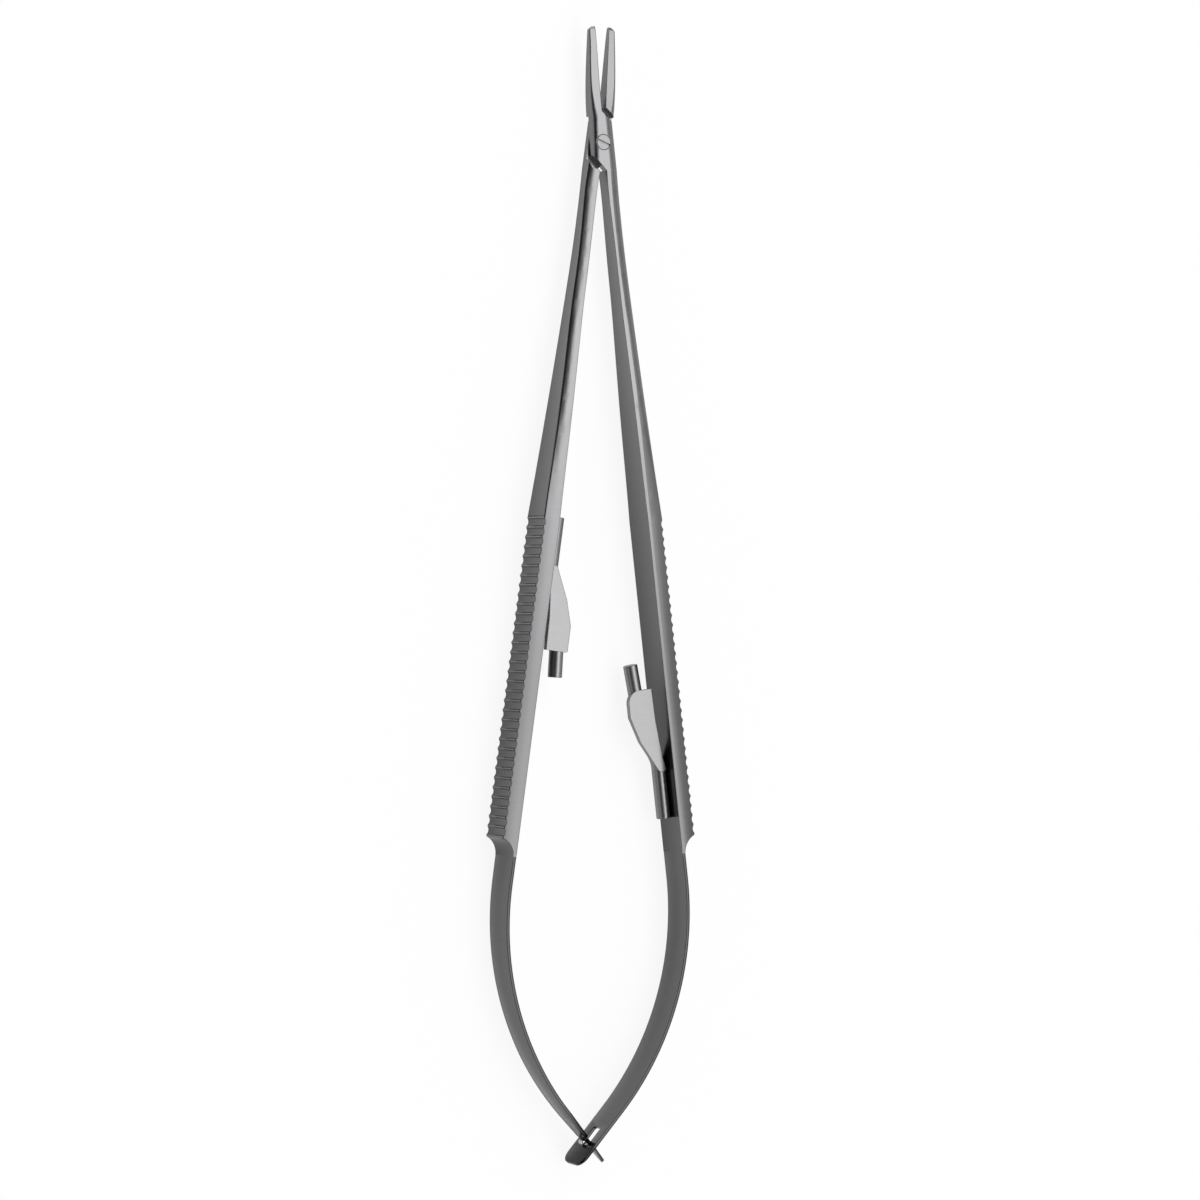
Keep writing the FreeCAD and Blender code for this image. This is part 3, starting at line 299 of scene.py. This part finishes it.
def handle_steel(name, lean, finish):
    """Satin-ground steel of one half, which leans from the middle line by the given angle.

    The grips are painted darker than the shanks, as painted shade. Each groove's crest gets a narrow
    painted highlight, with painted shade at the crest's foot on either side.
    """
    material, tree, place, apart, tint, shader = satin_ground_stainless(
        name, list(finish.handle_colour), finish.handle_roughness, 1, finish)
    grip_tone_to, shank_tone_from = -15 * MM, 35 * MM
    # Painted shade: the grips are painted darker, rising to the steel's own tone along the shanks.
    painted_grip_shade = add_node(tree, "ShaderNodeMapRange", [],
                    [("Value", apart.outputs["Y"]), ("From Min", grip_tone_to),
                     ("From Max", shank_tone_from), ("To Min", finish.grip_painted_shade), ("To Max", 1.0)])
    half = add_node(tree, "ShaderNodeMapping", [("vector_type", "TEXTURE")],
                    [("Vector", place.outputs["Object"]), ("Location", PIVOT), ("Rotation", (0, 0, lean))])
    parts = add_node(tree, "ShaderNodeSeparateXYZ", [], [("Vector", half.outputs["Vector"])])
    # The count of crests from the first, with the crest itself at a half.
    pitch = finish.crest_pitch
    count = add_node(tree, "ShaderNodeMath", [("operation", "MULTIPLY_ADD")],
                     [(0, parts.outputs["Y"]), (1, -1 / pitch), (2, 0.5 - finish.first_crest / pitch)])
    turn = add_node(tree, "ShaderNodeMath", [("operation", "FRACT")], [(0, count.outputs["Value"])])
    off = add_node(tree, "ShaderNodeMath", [("operation", "SUBTRACT")],
                   [(0, turn.outputs["Value"]), (1, 0.5)])
    beside = add_node(tree, "ShaderNodeMath", [("operation", "ABSOLUTE")], [(0, off.outputs["Value"])])
    # Painted highlight on the crest and painted shade at its feet, as tones where 0.5 is the steel's own.
    crest_to, foot_from, foot_to, plain_from = 0.07 * MM, 0.11 * MM, 0.22 * MM, 0.36 * MM
    band = add_node(tree, "ShaderNodeValToRGB", [], [("Fac", beside.outputs["Value"])])
    ramp_colours(band, [
        (crest_to / pitch, grey(finish.crest_painted_highlight)), (foot_from / pitch, grey(finish.crest_foot_painted_shade)),
        (foot_to / pitch, grey(finish.crest_foot_painted_shade)), (plain_from / pitch, grey(0.5))])
    doubled = add_node(tree, "ShaderNodeMath", [("operation", "MULTIPLY")],
                       [(0, band.outputs["Color"]), (1, 2.0)])
    # Only the outer face within the run of grooves has crests.
    shape = add_node(tree, "ShaderNodeNewGeometry")
    outwards = Vector((math.cos(lean), math.sin(lean), 0)) * math.copysign(1, lean)
    facing = add_node(tree, "ShaderNodeVectorMath", [("operation", "DOT_PRODUCT")],
                      [(0, shape.outputs["Normal"]), (1, outwards)])
    outer = add_node(tree, "ShaderNodeMapRange", [],
                     [("Value", facing.outputs["Value"]), ("From Min", 0.3), ("From Max", 0.5)])
    begun = add_node(tree, "ShaderNodeMath", [("operation", "GREATER_THAN")],
                     [(0, count.outputs["Value"]), (1, 0.0)])
    ended = add_node(tree, "ShaderNodeMath", [("operation", "LESS_THAN")],
                     [(0, count.outputs["Value"]), (1, finish.crests)])
    within = add_node(tree, "ShaderNodeMath", [("operation", "MULTIPLY")],
                      [(0, begun.outputs["Value"]), (1, ended.outputs["Value"])])
    grooved = add_node(tree, "ShaderNodeMath", [("operation", "MULTIPLY")],
                       [(0, outer.outputs["Result"]), (1, within.outputs["Value"])])
    # Painted crest highlight and foot shade, on the outer face within the run of grooves.
    painted_crest_light_and_shade = add_node(tree, "ShaderNodeMapRange", [],
                    [("Value", grooved.outputs["Value"]), ("To Min", 1.0),
                     ("To Max", doubled.outputs["Value"])])
    shade_metal(tree, tint, painted_grip_shade.outputs["Result"], painted_crest_light_and_shade.outputs["Result"], shader)
    return material


def leaf_steel(name, dark_from, dark_to, dark_end, finish):
    """Satin-ground spring strip, darker on its narrow faces and towards its tail.

    The narrow faces and the tail are painted darker, as painted shade. The tail darkens from dark_from to
    dark_to, both along Y. Past dark_end, where the strip slides in a slot, the tongue gets a painted
    highlight.
    """
    material, tree, place, apart, tint, shader = satin_ground_stainless(
        name, list(finish.leaf_colour), finish.leaf_roughness, -1, finish)
    # Painted shade: the tail is painted darker from dark_from to dark_to.
    tail = add_node(tree, "ShaderNodeMapRange", [],
                    [("Value", apart.outputs["Y"]), ("From Min", dark_to), ("From Max", dark_from),
                     ("To Min", finish.tail_painted_shade), ("To Max", 1.0)])
    # Painted highlight on the tongue past dark_end.
    painted_tongue_highlight = add_node(tree, "ShaderNodeMapRange", [],
                      [("Value", apart.outputs["Y"]), ("From Min", dark_end - 0.5 * MM),
                       ("From Max", dark_end), ("To Min", finish.tongue_painted_highlight), ("To Max", 0.0)])
    bright = add_node(tree, "ShaderNodeMath", [("operation", "MAXIMUM")],
                      [(0, tail.outputs["Result"]), (1, painted_tongue_highlight.outputs["Result"])])
    # Painted shade: the narrow faces, which face sideways, are painted darker.
    shape = add_node(tree, "ShaderNodeNewGeometry")
    facing = add_node(tree, "ShaderNodeSeparateXYZ", [], [("Vector", shape.outputs["Normal"])])
    upright = add_node(tree, "ShaderNodeMath", [("operation", "ABSOLUTE")], [(0, facing.outputs["Z"])])
    painted_edge_shade = add_node(tree, "ShaderNodeMapRange", [],
                    [("Value", upright.outputs["Value"]), ("From Min", 0.35), ("From Max", 0.8),
                     ("To Min", 1.0), ("To Max", finish.leaf_edge_painted_shade)])
    shade_metal(tree, tint, bright.outputs["Value"], painted_edge_shade.outputs["Result"], shader)
    return material


def bead_blasted_stainless(finish):
    """Forged stainless steel blasted with glass beads and drawn once over a fine belt.

    The eye gets a pale skin, more even than the ground steel, with a very fine tooth.
    """
    material, tree, output = new_material("bead_blasted_stainless")
    base = list(finish.catch_colour)
    place = add_node(tree, "ShaderNodeTexCoord")
    # Glass beads of about 0.12 mm leave dimples of that size.
    dimples = add_node(tree, "ShaderNodeTexNoise", [("noise_dimensions", "3D")],
                       [("Vector", place.outputs["Object"]), ("Scale", 1 / (0.12 * MM)), ("Detail", 2.0)])
    across = add_node(tree, "ShaderNodeMapping", [("vector_type", "POINT")],
                      [("Vector", place.outputs["Object"]), ("Scale", (0.08, 1.0, 0.3))])
    belt = add_node(tree, "ShaderNodeTexNoise", [("noise_dimensions", "3D")],
                    [("Vector", across.outputs["Vector"]), ("Scale", 1 / finish.grit_line), ("Detail", 2.0)])
    both = add_node(tree, "ShaderNodeMath", [("operation", "MULTIPLY_ADD")],
                    [(0, belt.outputs["Fac"]), (1, 0.7), (2, dimples.outputs["Fac"])])
    tint = add_node(tree, "ShaderNodeValToRGB", [], [("Fac", belt.outputs["Fac"])])
    ramp_colours(tint, [(0.30, shades_of(base, 0.97)), (0.70, shades_of(base, 1.02))])
    rough = add_node(tree, "ShaderNodeMapRange", [],
                     [("Value", dimples.outputs["Fac"]), ("From Min", 0.3), ("From Max", 0.7),
                      ("To Min", finish.catch_roughness * 0.9), ("To Max", finish.catch_roughness * 1.1)])
    rounded = add_node(tree, "ShaderNodeBevel", [("samples", 6)], [("Radius", finish.edge_round)])
    bump = add_node(tree, "ShaderNodeBump", [],
                    [("Strength", 0.10), ("Distance", 0.003 * MM), ("Height", both.outputs["Value"]),
                     ("Normal", rounded.outputs["Normal"])])
    shader = add_node(tree, "ShaderNodeBsdfPrincipled", [],
                      [("Base Color", tint.outputs["Color"]), ("Metallic", 1.0),
                       ("Roughness", rough.outputs["Result"]), ("Normal", bump.outputs["Normal"])])
    tree.links.new(shader.outputs["BSDF"], output.inputs["Surface"])
    return material


def turned_stainless(finish):
    """Stainless screw faced on a lathe.

    The eye gets fine rings about the screw's axis. A facing tool leaves them about 0.1 mm apart. They are
    drawn coarser, so that they show.
    """
    material, tree, output = new_material("turned_stainless")
    place = add_node(tree, "ShaderNodeTexCoord")
    centred = add_node(tree, "ShaderNodeMapping", [("vector_type", "TEXTURE")],
                       [("Vector", place.outputs["Object"]), ("Location", PIVOT)])
    # At scale 1 the rings of the wave texture are this far apart.
    plain_pitch = 2 * math.pi / 20
    rings = add_node(tree, "ShaderNodeTexWave", [("wave_type", "RINGS"), ("rings_direction", "Z")],
                     [("Vector", centred.outputs["Vector"]), ("Scale", plain_pitch / finish.ring_pitch),
                      ("Distortion", 0.3), ("Detail", 1.0)])
    tint = add_node(tree, "ShaderNodeValToRGB", [], [("Fac", rings.outputs["Fac"])])
    base = list(finish.screw_colour)
    ramp_colours(tint, [(0.0, shades_of(base, 0.94)), (1.0, base)])
    rounded = add_node(tree, "ShaderNodeBevel", [("samples", 6)], [("Radius", finish.edge_round)])
    bump = add_node(tree, "ShaderNodeBump", [],
                    [("Strength", 0.2), ("Distance", 0.004 * MM), ("Height", rings.outputs["Fac"]),
                     ("Normal", rounded.outputs["Normal"])])
    shader = add_node(tree, "ShaderNodeBsdfPrincipled", [],
                      [("Base Color", tint.outputs["Color"]), ("Metallic", 1.0),
                       ("Roughness", finish.screw_roughness), ("Normal", bump.outputs["Normal"])])
    tree.links.new(shader.outputs["BSDF"], output.inputs["Surface"])
    return material


def bright_drawn_wire(finish):
    """Stainless wire drawn through a die.

    The eye gets a bright pin with faint lines along its length. The die leaves them about 0.02 mm apart. They
    are drawn 0.1 mm apart, so that they show.
    """
    material, tree, output = new_material("bright_drawn_wire")
    place = add_node(tree, "ShaderNodeTexCoord")
    along = add_node(tree, "ShaderNodeMapping", [("vector_type", "POINT")],
                     [("Vector", place.outputs["Object"]), ("Scale", (1.0, 1.0, 0.05))])
    lines = add_node(tree, "ShaderNodeTexNoise", [("noise_dimensions", "3D")],
                     [("Vector", along.outputs["Vector"]), ("Scale", 1 / (0.1 * MM)), ("Detail", 2.0)])
    tint = add_node(tree, "ShaderNodeValToRGB", [], [("Fac", lines.outputs["Fac"])])
    base = list(finish.pin_colour)
    ramp_colours(tint, [(0.3, shades_of(base, 0.93)), (0.7, base)])
    shader = add_node(tree, "ShaderNodeBsdfPrincipled", [],
                      [("Base Color", tint.outputs["Color"]), ("Metallic", 1.0),
                       ("Roughness", finish.pin_roughness)])
    tree.links.new(shader.outputs["BSDF"], output.inputs["Surface"])
    return material


def coat(obj, material):
    """Gives every face of the object one material."""
    if obj.material_slots:
        for entry in obj.material_slots:
            entry.material = material
    else:
        obj.data.materials.append(material)


def deselect_all():
    if bpy.context.mode != "OBJECT":
        bpy.ops.object.mode_set(mode="OBJECT")
    bpy.ops.object.select_all(action="DESELECT")


def select_edges(obj, test):
    """In edit mode, selects the edges of which the two ends pass the test."""
    bpy.ops.mesh.select_mode(type="EDGE")
    bpy.ops.mesh.select_all(action="DESELECT")
    mesh = bmesh.from_edit_mesh(obj.data)
    for edge in mesh.edges:
        if test(*[vertex.co for vertex in edge.verts]):
            edge.select_set(True)
    bmesh.update_edit_mesh(obj.data)


def finish_mesh(obj):
    """Clean closed mesh with outward faces and its place in its vertices."""
    bpy.ops.object.mode_set(mode="EDIT")
    bpy.ops.mesh.select_all(action="SELECT")
    bpy.ops.mesh.remove_doubles(threshold=WELD)
    bpy.ops.mesh.normals_make_consistent(inside=False)
    bpy.ops.object.mode_set(mode="OBJECT")
    bpy.ops.object.transform_apply(location=True, rotation=True, scale=True)
    bpy.ops.object.shade_smooth_by_angle(angle=SMOOTH_ANGLE)


def bend_of(sizes):
    """Centre and end of a leaf's bend at its middle plane, and the way in which its tail runs on."""
    turn = sizes.bend_angle
    centre = Vector((sizes.thickness / 2 - sizes.bend_radius, -sizes.handle_reach - sizes.straight, 0))
    end = centre + Vector((math.cos(turn), -math.sin(turn), 0)) * sizes.bend_radius
    return centre, end, Vector((-math.sin(turn), -math.cos(turn), 0))


def crossing_run(sizes):
    """Straight run from the end of the bend to the middle line."""
    lean = sizes.handle_angle
    _, end, _ = bend_of(sizes)
    return (end.x * math.cos(lean) - end.y * math.sin(lean)) / math.sin(sizes.bend_angle - lean)


def leaf_strip(name, sizes, width_at, tail_runs):
    """Strip that runs straight on from the handle, bends once and ends in a straight tail.

    It is made in its half's own frame, with the pivot at the origin and the handle along -Y. width_at gives
    its width at a place along Y. tail_runs are the (run past the bend, width) of the rings of the tail.
    """
    centre, _, along = bend_of(sizes)
    deselect_all()
    bpy.ops.mesh.primitive_plane_add(size=1, location=(0, 0, 0))
    leaf = bpy.context.object
    leaf.name = name
    bpy.ops.object.mode_set(mode="EDIT")
    bpy.ops.transform.resize(value=(sizes.thickness, 1, 1))
    bpy.ops.transform.resize(value=(1, sizes.width, 1))
    bpy.ops.object.mode_set(mode="OBJECT")
    leaf.rotation_euler = (math.radians(90), 0, 0)
    leaf.location = (sizes.thickness / 2, sizes.root_sink - sizes.handle_reach, 0)
    bpy.ops.object.transform_apply(location=True, rotation=True, scale=True)
    bpy.ops.object.mode_set(mode="EDIT")
    bpy.ops.mesh.select_all(action="SELECT")
    rings_straight, rings_bent = 3, 48
    ring = (sizes.straight + sizes.root_sink) / rings_straight
    for _ in range(rings_straight):
        bpy.ops.mesh.extrude_region_move(TRANSFORM_OT_translate={"value": (0, -ring, 0)})
    bpy.ops.mesh.spin(steps=rings_bent, angle=sizes.bend_angle, center=centre, axis=(0, 0, 1))
    run_now, width_now = 0, sizes.width
    for run, width in tail_runs:
        bpy.ops.mesh.extrude_region_move(TRANSFORM_OT_translate={"value": along * (run - run_now)})
        bpy.ops.transform.resize(value=(1, 1, width / width_now))
        run_now, width_now = run, width
    mesh = bmesh.from_edit_mesh(leaf.data)
    # The outer face of the bend's last ring lies lowest, and a little below it the tail's own rings begin.
    bend_low = centre.y - (sizes.bend_radius + sizes.thickness / 2) * math.sin(sizes.bend_angle)
    margin = 0.02 * MM
    for vertex in mesh.verts:
        if vertex.co.y > bend_low - margin:
            vertex.co.z = math.copysign(width_at(vertex.co.y) / 2, vertex.co.z)
    bmesh.update_edit_mesh(leaf.data)
    bpy.ops.mesh.select_all(action="SELECT")
    bpy.ops.mesh.normals_make_consistent(inside=False)
    bpy.ops.object.mode_set(mode="OBJECT")
    return leaf


def break_edges(obj, width, segments=2):
    """Rounds every sharp edge of a piece."""
    bevel = obj.modifiers.new("Edge break", "BEVEL")
    bevel.limit_method = "ANGLE"
    bevel.angle_limit = SHARP_ANGLE
    bevel.width = width
    bevel.segments = segments
    bpy.ops.object.modifier_apply(modifier=bevel.name)


def place_half(obj, lean, turned_over):
    """Brings a piece from the half's own frame to its place beside the pivot."""
    turn = Matrix.Rotation(-lean if turned_over else lean, 4, "Z")
    over = Matrix.Rotation(math.pi if turned_over else 0, 4, "Y")
    obj.matrix_world = Matrix.Translation(PIVOT) @ turn @ over
    bpy.ops.object.transform_apply(location=True, rotation=True, scale=True)


def straight_taper(rows, place):
    """Width at a place, straight between the rows (place, width), which fall along -Y."""
    if place >= rows[0][0]:
        return rows[0][1]
    for (high, wide), (low, narrow) in zip(rows, rows[1:]):
        if place >= low:
            return narrow + (wide - narrow) * (place - low) / (high - low)
    return rows[-1][1]


class NEEDLEHOLDER_OT_handles(bpy.types.Operator):
    """Satin grind of both halves"""
    bl_idname = "needleholder.handles"
    bl_label = "Halves"

    def execute(self, context):
        finish = context.scene.needle_holder_steel
        lean = context.scene.needle_holder_leaves.handle_angle
        coat(frame["nodes"]["right_arm"], handle_steel("satin_ground_stainless_right", lean, finish))
        coat(frame["nodes"]["left_arm"], handle_steel("satin_ground_stainless_left", -lean, finish))
        return {"FINISHED"}


class NEEDLEHOLDER_OT_leaves(bpy.types.Operator):
    """Spring leaves, each bent once between its handle and its tail"""
    bl_idname = "needleholder.leaves"
    bl_label = "Spring leaves"

    def execute(self, context):
        sizes = context.scene.needle_holder_leaves
        finish = context.scene.needle_holder_steel
        right = self.right_leaf(sizes)
        left = self.left_leaf(sizes)
        tail_end = cad_box[0][1]
        coat(right, leaf_steel("satin_ground_spring_steel_right", dark_from=-86.5 * MM, dark_to=-87.5 * MM,
                               dark_end=tail_end, finish=finish))
        coat(left, leaf_steel("satin_ground_spring_steel_left", dark_from=-80 * MM, dark_to=-87 * MM,
                              dark_end=-87.6 * MM, finish=finish))
        for leaf, side in ((right, "right"), (left, "left")):
            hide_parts(f"{side}_leaf")
            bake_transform(leaf)
        return {"FINISHED"}

    def right_leaf(self, sizes):
        """Full-width leaf with a slot near its rounded end."""
        crossing = crossing_run(sizes)
        _, bend_end, along = bend_of(sizes)
        end = crossing + sizes.right_tail
        runs = [(end * part, sizes.width) for part in (0.25, 0.5, 0.75, 1.0)]
        leaf = leaf_strip("right_spring_leaf", sizes, lambda place: sizes.width, runs)
        tip = bend_end + along * end
        bpy.ops.object.mode_set(mode="EDIT")

        def corner_at_tip(one, other):
            level = abs(one.z - other.z) < SAME_PLACE
            return level and all((place - tip).dot(along) > -SAME_PLACE for place in (one, other))

        select_edges(leaf, corner_at_tip)
        bpy.ops.mesh.bevel(offset=sizes.end_radius, segments=10, affect="EDGES")
        bpy.ops.object.mode_set(mode="OBJECT")

        deselect_all()
        bpy.ops.mesh.primitive_cube_add(size=1)
        cutter = bpy.context.object
        cutter.scale = (sizes.thickness * 4, sizes.slot_before + sizes.slot_after, sizes.slot_width)
        bpy.ops.object.transform_apply(location=False, rotation=False, scale=True)
        bpy.ops.object.mode_set(mode="EDIT")
        select_edges(cutter, lambda one, other: abs(one.x - other.x) > SAME_PLACE)
        bpy.ops.mesh.bevel(offset=sizes.slot_corner, segments=6, affect="EDGES")
        bpy.ops.object.mode_set(mode="OBJECT")
        middle = bend_end + along * (crossing + (sizes.slot_after - sizes.slot_before) / 2)
        cutter.matrix_world = Matrix.Translation(middle) @ Matrix.Rotation(-sizes.bend_angle, 4, "Z")
        bpy.ops.object.transform_apply(location=True, rotation=True, scale=True)
        deselect_all()
        leaf.select_set(True)
        bpy.context.view_layer.objects.active = leaf
        slot = leaf.modifiers.new("Slot", "BOOLEAN")
        slot.operation = "DIFFERENCE"
        slot.object = cutter
        slot.solver = "EXACT"
        bpy.ops.object.modifier_apply(modifier=slot.name)
        bpy.data.objects.remove(cutter)
        break_edges(leaf, sizes.edge_break)
        place_half(leaf, sizes.handle_angle, turned_over=False)
        finish_mesh(leaf)
        return leaf

    def left_leaf(self, sizes):
        """Leaf that tapers round its bend and ends in a tongue narrower than the slot."""
        crossing = crossing_run(sizes)
        start = -sizes.handle_reach - sizes.straight
        taper_end, taper_width = 35.2 * MM, 4.4 * MM
        # Width of the leaf at places along Y.
        rows = [
            (start + 2 * MM, sizes.width),
            (start - 4 * MM, 6.1 * MM),
            (start - 27 * MM, 5.25 * MM),
            (start - taper_end, taper_width),
        ]
        # The rows are measured along Y, the runs along the tail.
        per_run = math.cos(sizes.bend_angle)
        shoulder = crossing - sizes.shoulder_before
        corner = sizes.shoulder_corner / per_run
        past_slot = crossing + 1.1 * MM
        runs = [
            ((taper_end - sizes.bend_radius * math.sin(sizes.bend_angle)) / per_run, taper_width),
            (shoulder - corner, sizes.shoulder_width),
            (shoulder, 2.0 * MM),
            (shoulder + corner, sizes.tongue_width),
            (past_slot, sizes.tongue_in_slot),
            (crossing + sizes.left_tail, sizes.tongue_tip),
        ]
        leaf = leaf_strip("left_spring_leaf", sizes, lambda place: straight_taper(rows, place), runs)
        break_edges(leaf, sizes.edge_break)
        place_half(leaf, sizes.handle_angle, turned_over=True)
        finish_mesh(leaf)
        return leaf


class NEEDLEHOLDER_OT_catches(bpy.types.Operator):
    """Blasted catch rods with their forged wings"""
    bl_idname = "needleholder.catches"
    bl_label = "Catches"

    def execute(self, context):
        steel = bead_blasted_stainless(context.scene.needle_holder_steel)
        for name in ("right_catch", "left_catch"):
            coat(frame["nodes"][name], steel)
        return {"FINISHED"}


class NEEDLEHOLDER_OT_fasteners(bpy.types.Operator):
    """Pivot screw, and tail pin with its domed ends"""
    bl_idname = "needleholder.fasteners"
    bl_label = "Screw and tail pin"

    def execute(self, context):
        finish = context.scene.needle_holder_steel
        coat(frame["nodes"]["pivot_screw"], turned_stainless(finish))
        pin = self.tail_pin()
        coat(pin, bright_drawn_wire(finish))
        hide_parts("tail_pin")
        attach(pin, "left_spring")
        return {"FINISHED"}

    def tail_pin(self):
        """Short wire with both ends hammered to a low dome."""
        low, high = [Vector(corner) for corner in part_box("tail_pin")]
        middle = (low + high) / 2
        radius = min(high.x - low.x, high.y - low.y) / 2
        deselect_all()
        bpy.ops.mesh.primitive_cylinder_add(vertices=32, radius=radius, depth=high.z - low.z,
                                            location=middle)
        pin = bpy.context.object
        pin.name = "domed_tail_pin"
        bpy.ops.object.transform_apply(location=True, rotation=True, scale=True)
        dome = radius * 0.7
        break_edges(pin, dome, segments=6)
        finish_mesh(pin)
        return pin


class NEEDLEHOLDER_OT_stage(bpy.types.Operator):
    """Pale floor, light tent and camera"""
    bl_idname = "needleholder.stage"
    bl_label = "Studio"

    def execute(self, context):
        studio = context.scene.needle_holder_studio
        self.floor(studio)
        self.world(context, studio)
        self.camera(context, studio)
        return {"FINISHED"}

    def floor(self, studio):
        """Matt pale board under the instrument."""
        deselect_all()
        bpy.ops.mesh.primitive_plane_add(size=studio.floor_size, location=(0, 0, -studio.floor_gap))
        floor = bpy.context.object
        floor.name = "floor"
        bpy.ops.object.transform_apply(location=True, rotation=True, scale=True)
        material, tree, output = new_material("matt_painted_board")
        board = add_node(tree, "ShaderNodeBsdfDiffuse", [], [("Color", (*studio.floor_colour, 1))])
        white = add_node(tree, "ShaderNodeEmission", [], [("Color", (1, 1, 1, 1)), ("Strength", 1.0)])
        ray = add_node(tree, "ShaderNodeLightPath")
        mirrored = add_node(tree, "ShaderNodeMath", [("operation", "MAXIMUM")],
                            [(0, ray.outputs["Is Glossy Ray"]), (1, ray.outputs["Is Transmission Ray"])])
        dimmed = add_node(tree, "ShaderNodeMath", [("operation", "MULTIPLY")],
                          [(0, mirrored.outputs["Value"]), (1, studio.mirrored_white)])
        share_white = add_node(tree, "ShaderNodeMath", [("operation", "MULTIPLY_ADD")],
                               [(0, ray.outputs["Is Camera Ray"]), (1, studio.seen_white),
                                (2, dimmed.outputs["Value"])])
        shader = add_node(tree, "ShaderNodeMixShader", [],
                          [(0, share_white.outputs["Value"]), (1, board.outputs["BSDF"]),
                           (2, white.outputs["Emission"])])
        tree.links.new(shader.outputs["Shader"], output.inputs["Surface"])
        coat(floor, material)

    def world(self, context, studio):
        """Light tent along the instrument: bright on the right of its top, dark where the camera looks in."""
        world = bpy.data.worlds.new("light_tent")
        context.scene.world = world
        world.use_nodes = True
        tree = world.node_tree
        tree.nodes.clear()
        output = add_node(tree, "ShaderNodeOutputWorld")
        place = add_node(tree, "ShaderNodeTexCoord")
        parts = add_node(tree, "ShaderNodeSeparateXYZ", [], [("Vector", place.outputs["Generated"])])
        turn = add_node(tree, "ShaderNodeMath", [("operation", "ARCTAN2")],
                        [(0, parts.outputs["Z"]), (1, parts.outputs["X"])])
        part = add_node(tree, "ShaderNodeMath", [("operation", "DIVIDE")],
                        [(0, turn.outputs["Value"]), (1, math.pi)])
        wall = add_node(tree, "ShaderNodeValToRGB", [], [("Fac", part.outputs["Value"])])
        ramp_colours(wall, [(place, grey(tone)) for place, tone in TENT_WALL])
        light = add_node(tree, "ShaderNodeBackground", [],
                         [("Color", wall.outputs["Color"]), ("Strength", studio.tent_strength)])
        tree.links.new(light.outputs["Background"], output.inputs["Surface"])

    def camera(self, context, studio):
        """Long lens, a little to the left of straight above, along the picture's own roll."""
        lens = bpy.data.cameras.new("camera")
        lens.sensor_width = 36
        lens.lens = lens.sensor_width * studio.camera_distance / studio.picture_height
        lens.clip_start = 0.01
        lens.clip_end = 5 * studio.floor_size
        camera = bpy.data.objects.new("camera", lens)
        context.scene.collection.objects.link(camera)
        turn, roll = studio.camera_turn, studio.camera_roll
        back = Vector((-math.sin(turn), 0, math.cos(turn)))
        flat_right = Vector((math.cos(turn), 0, math.sin(turn)))
        flat_up = Vector((0, 1, 0))
        right = flat_right * math.cos(roll) + flat_up * math.sin(roll)
        up = flat_up * math.cos(roll) - flat_right * math.sin(roll)
        camera.matrix_world = Matrix((right, up, back)).transposed().to_4x4()
        camera.location = CAMERA_TARGET + back * studio.camera_distance
        context.scene.camera = camera
        context.scene.view_settings.view_transform = "Standard"


class NEEDLEHOLDER_PT_panel(bpy.types.Panel):
    """Pieces and studio of the needle holder"""
    bl_idname = "NEEDLEHOLDER_PT_panel"
    bl_label = "Needle holder"
    bl_space_type = "VIEW_3D"
    bl_region_type = "UI"
    bl_category = "Needle holder"

    def draw(self, context):
        for operator in OPERATORS:
            self.layout.operator(operator.bl_idname)


GROUPS = (LeafSizes, SteelFinish, StudioSettings)
OPERATORS = (
    NEEDLEHOLDER_OT_handles,
    NEEDLEHOLDER_OT_leaves,
    NEEDLEHOLDER_OT_catches,
    NEEDLEHOLDER_OT_fasteners,
    NEEDLEHOLDER_OT_stage,
)


def register():
    for item in (*GROUPS, *OPERATORS, NEEDLEHOLDER_PT_panel):
        bpy.utils.register_class(item)
    bpy.types.Scene.needle_holder_leaves = PointerProperty(type=LeafSizes)
    bpy.types.Scene.needle_holder_steel = PointerProperty(type=SteelFinish)
    bpy.types.Scene.needle_holder_studio = PointerProperty(type=StudioSettings)


def unregister():
    del bpy.types.Scene.needle_holder_studio
    del bpy.types.Scene.needle_holder_steel
    del bpy.types.Scene.needle_holder_leaves
    for item in reversed((*GROUPS, *OPERATORS, NEEDLEHOLDER_PT_panel)):
        bpy.utils.unregister_class(item)


def main():
    register()
    bpy.ops.needleholder.handles()
    bpy.ops.needleholder.leaves()
    bpy.ops.needleholder.catches()
    bpy.ops.needleholder.fasteners()
    bpy.ops.needleholder.stage()


if __name__ == "__main__":
    main()
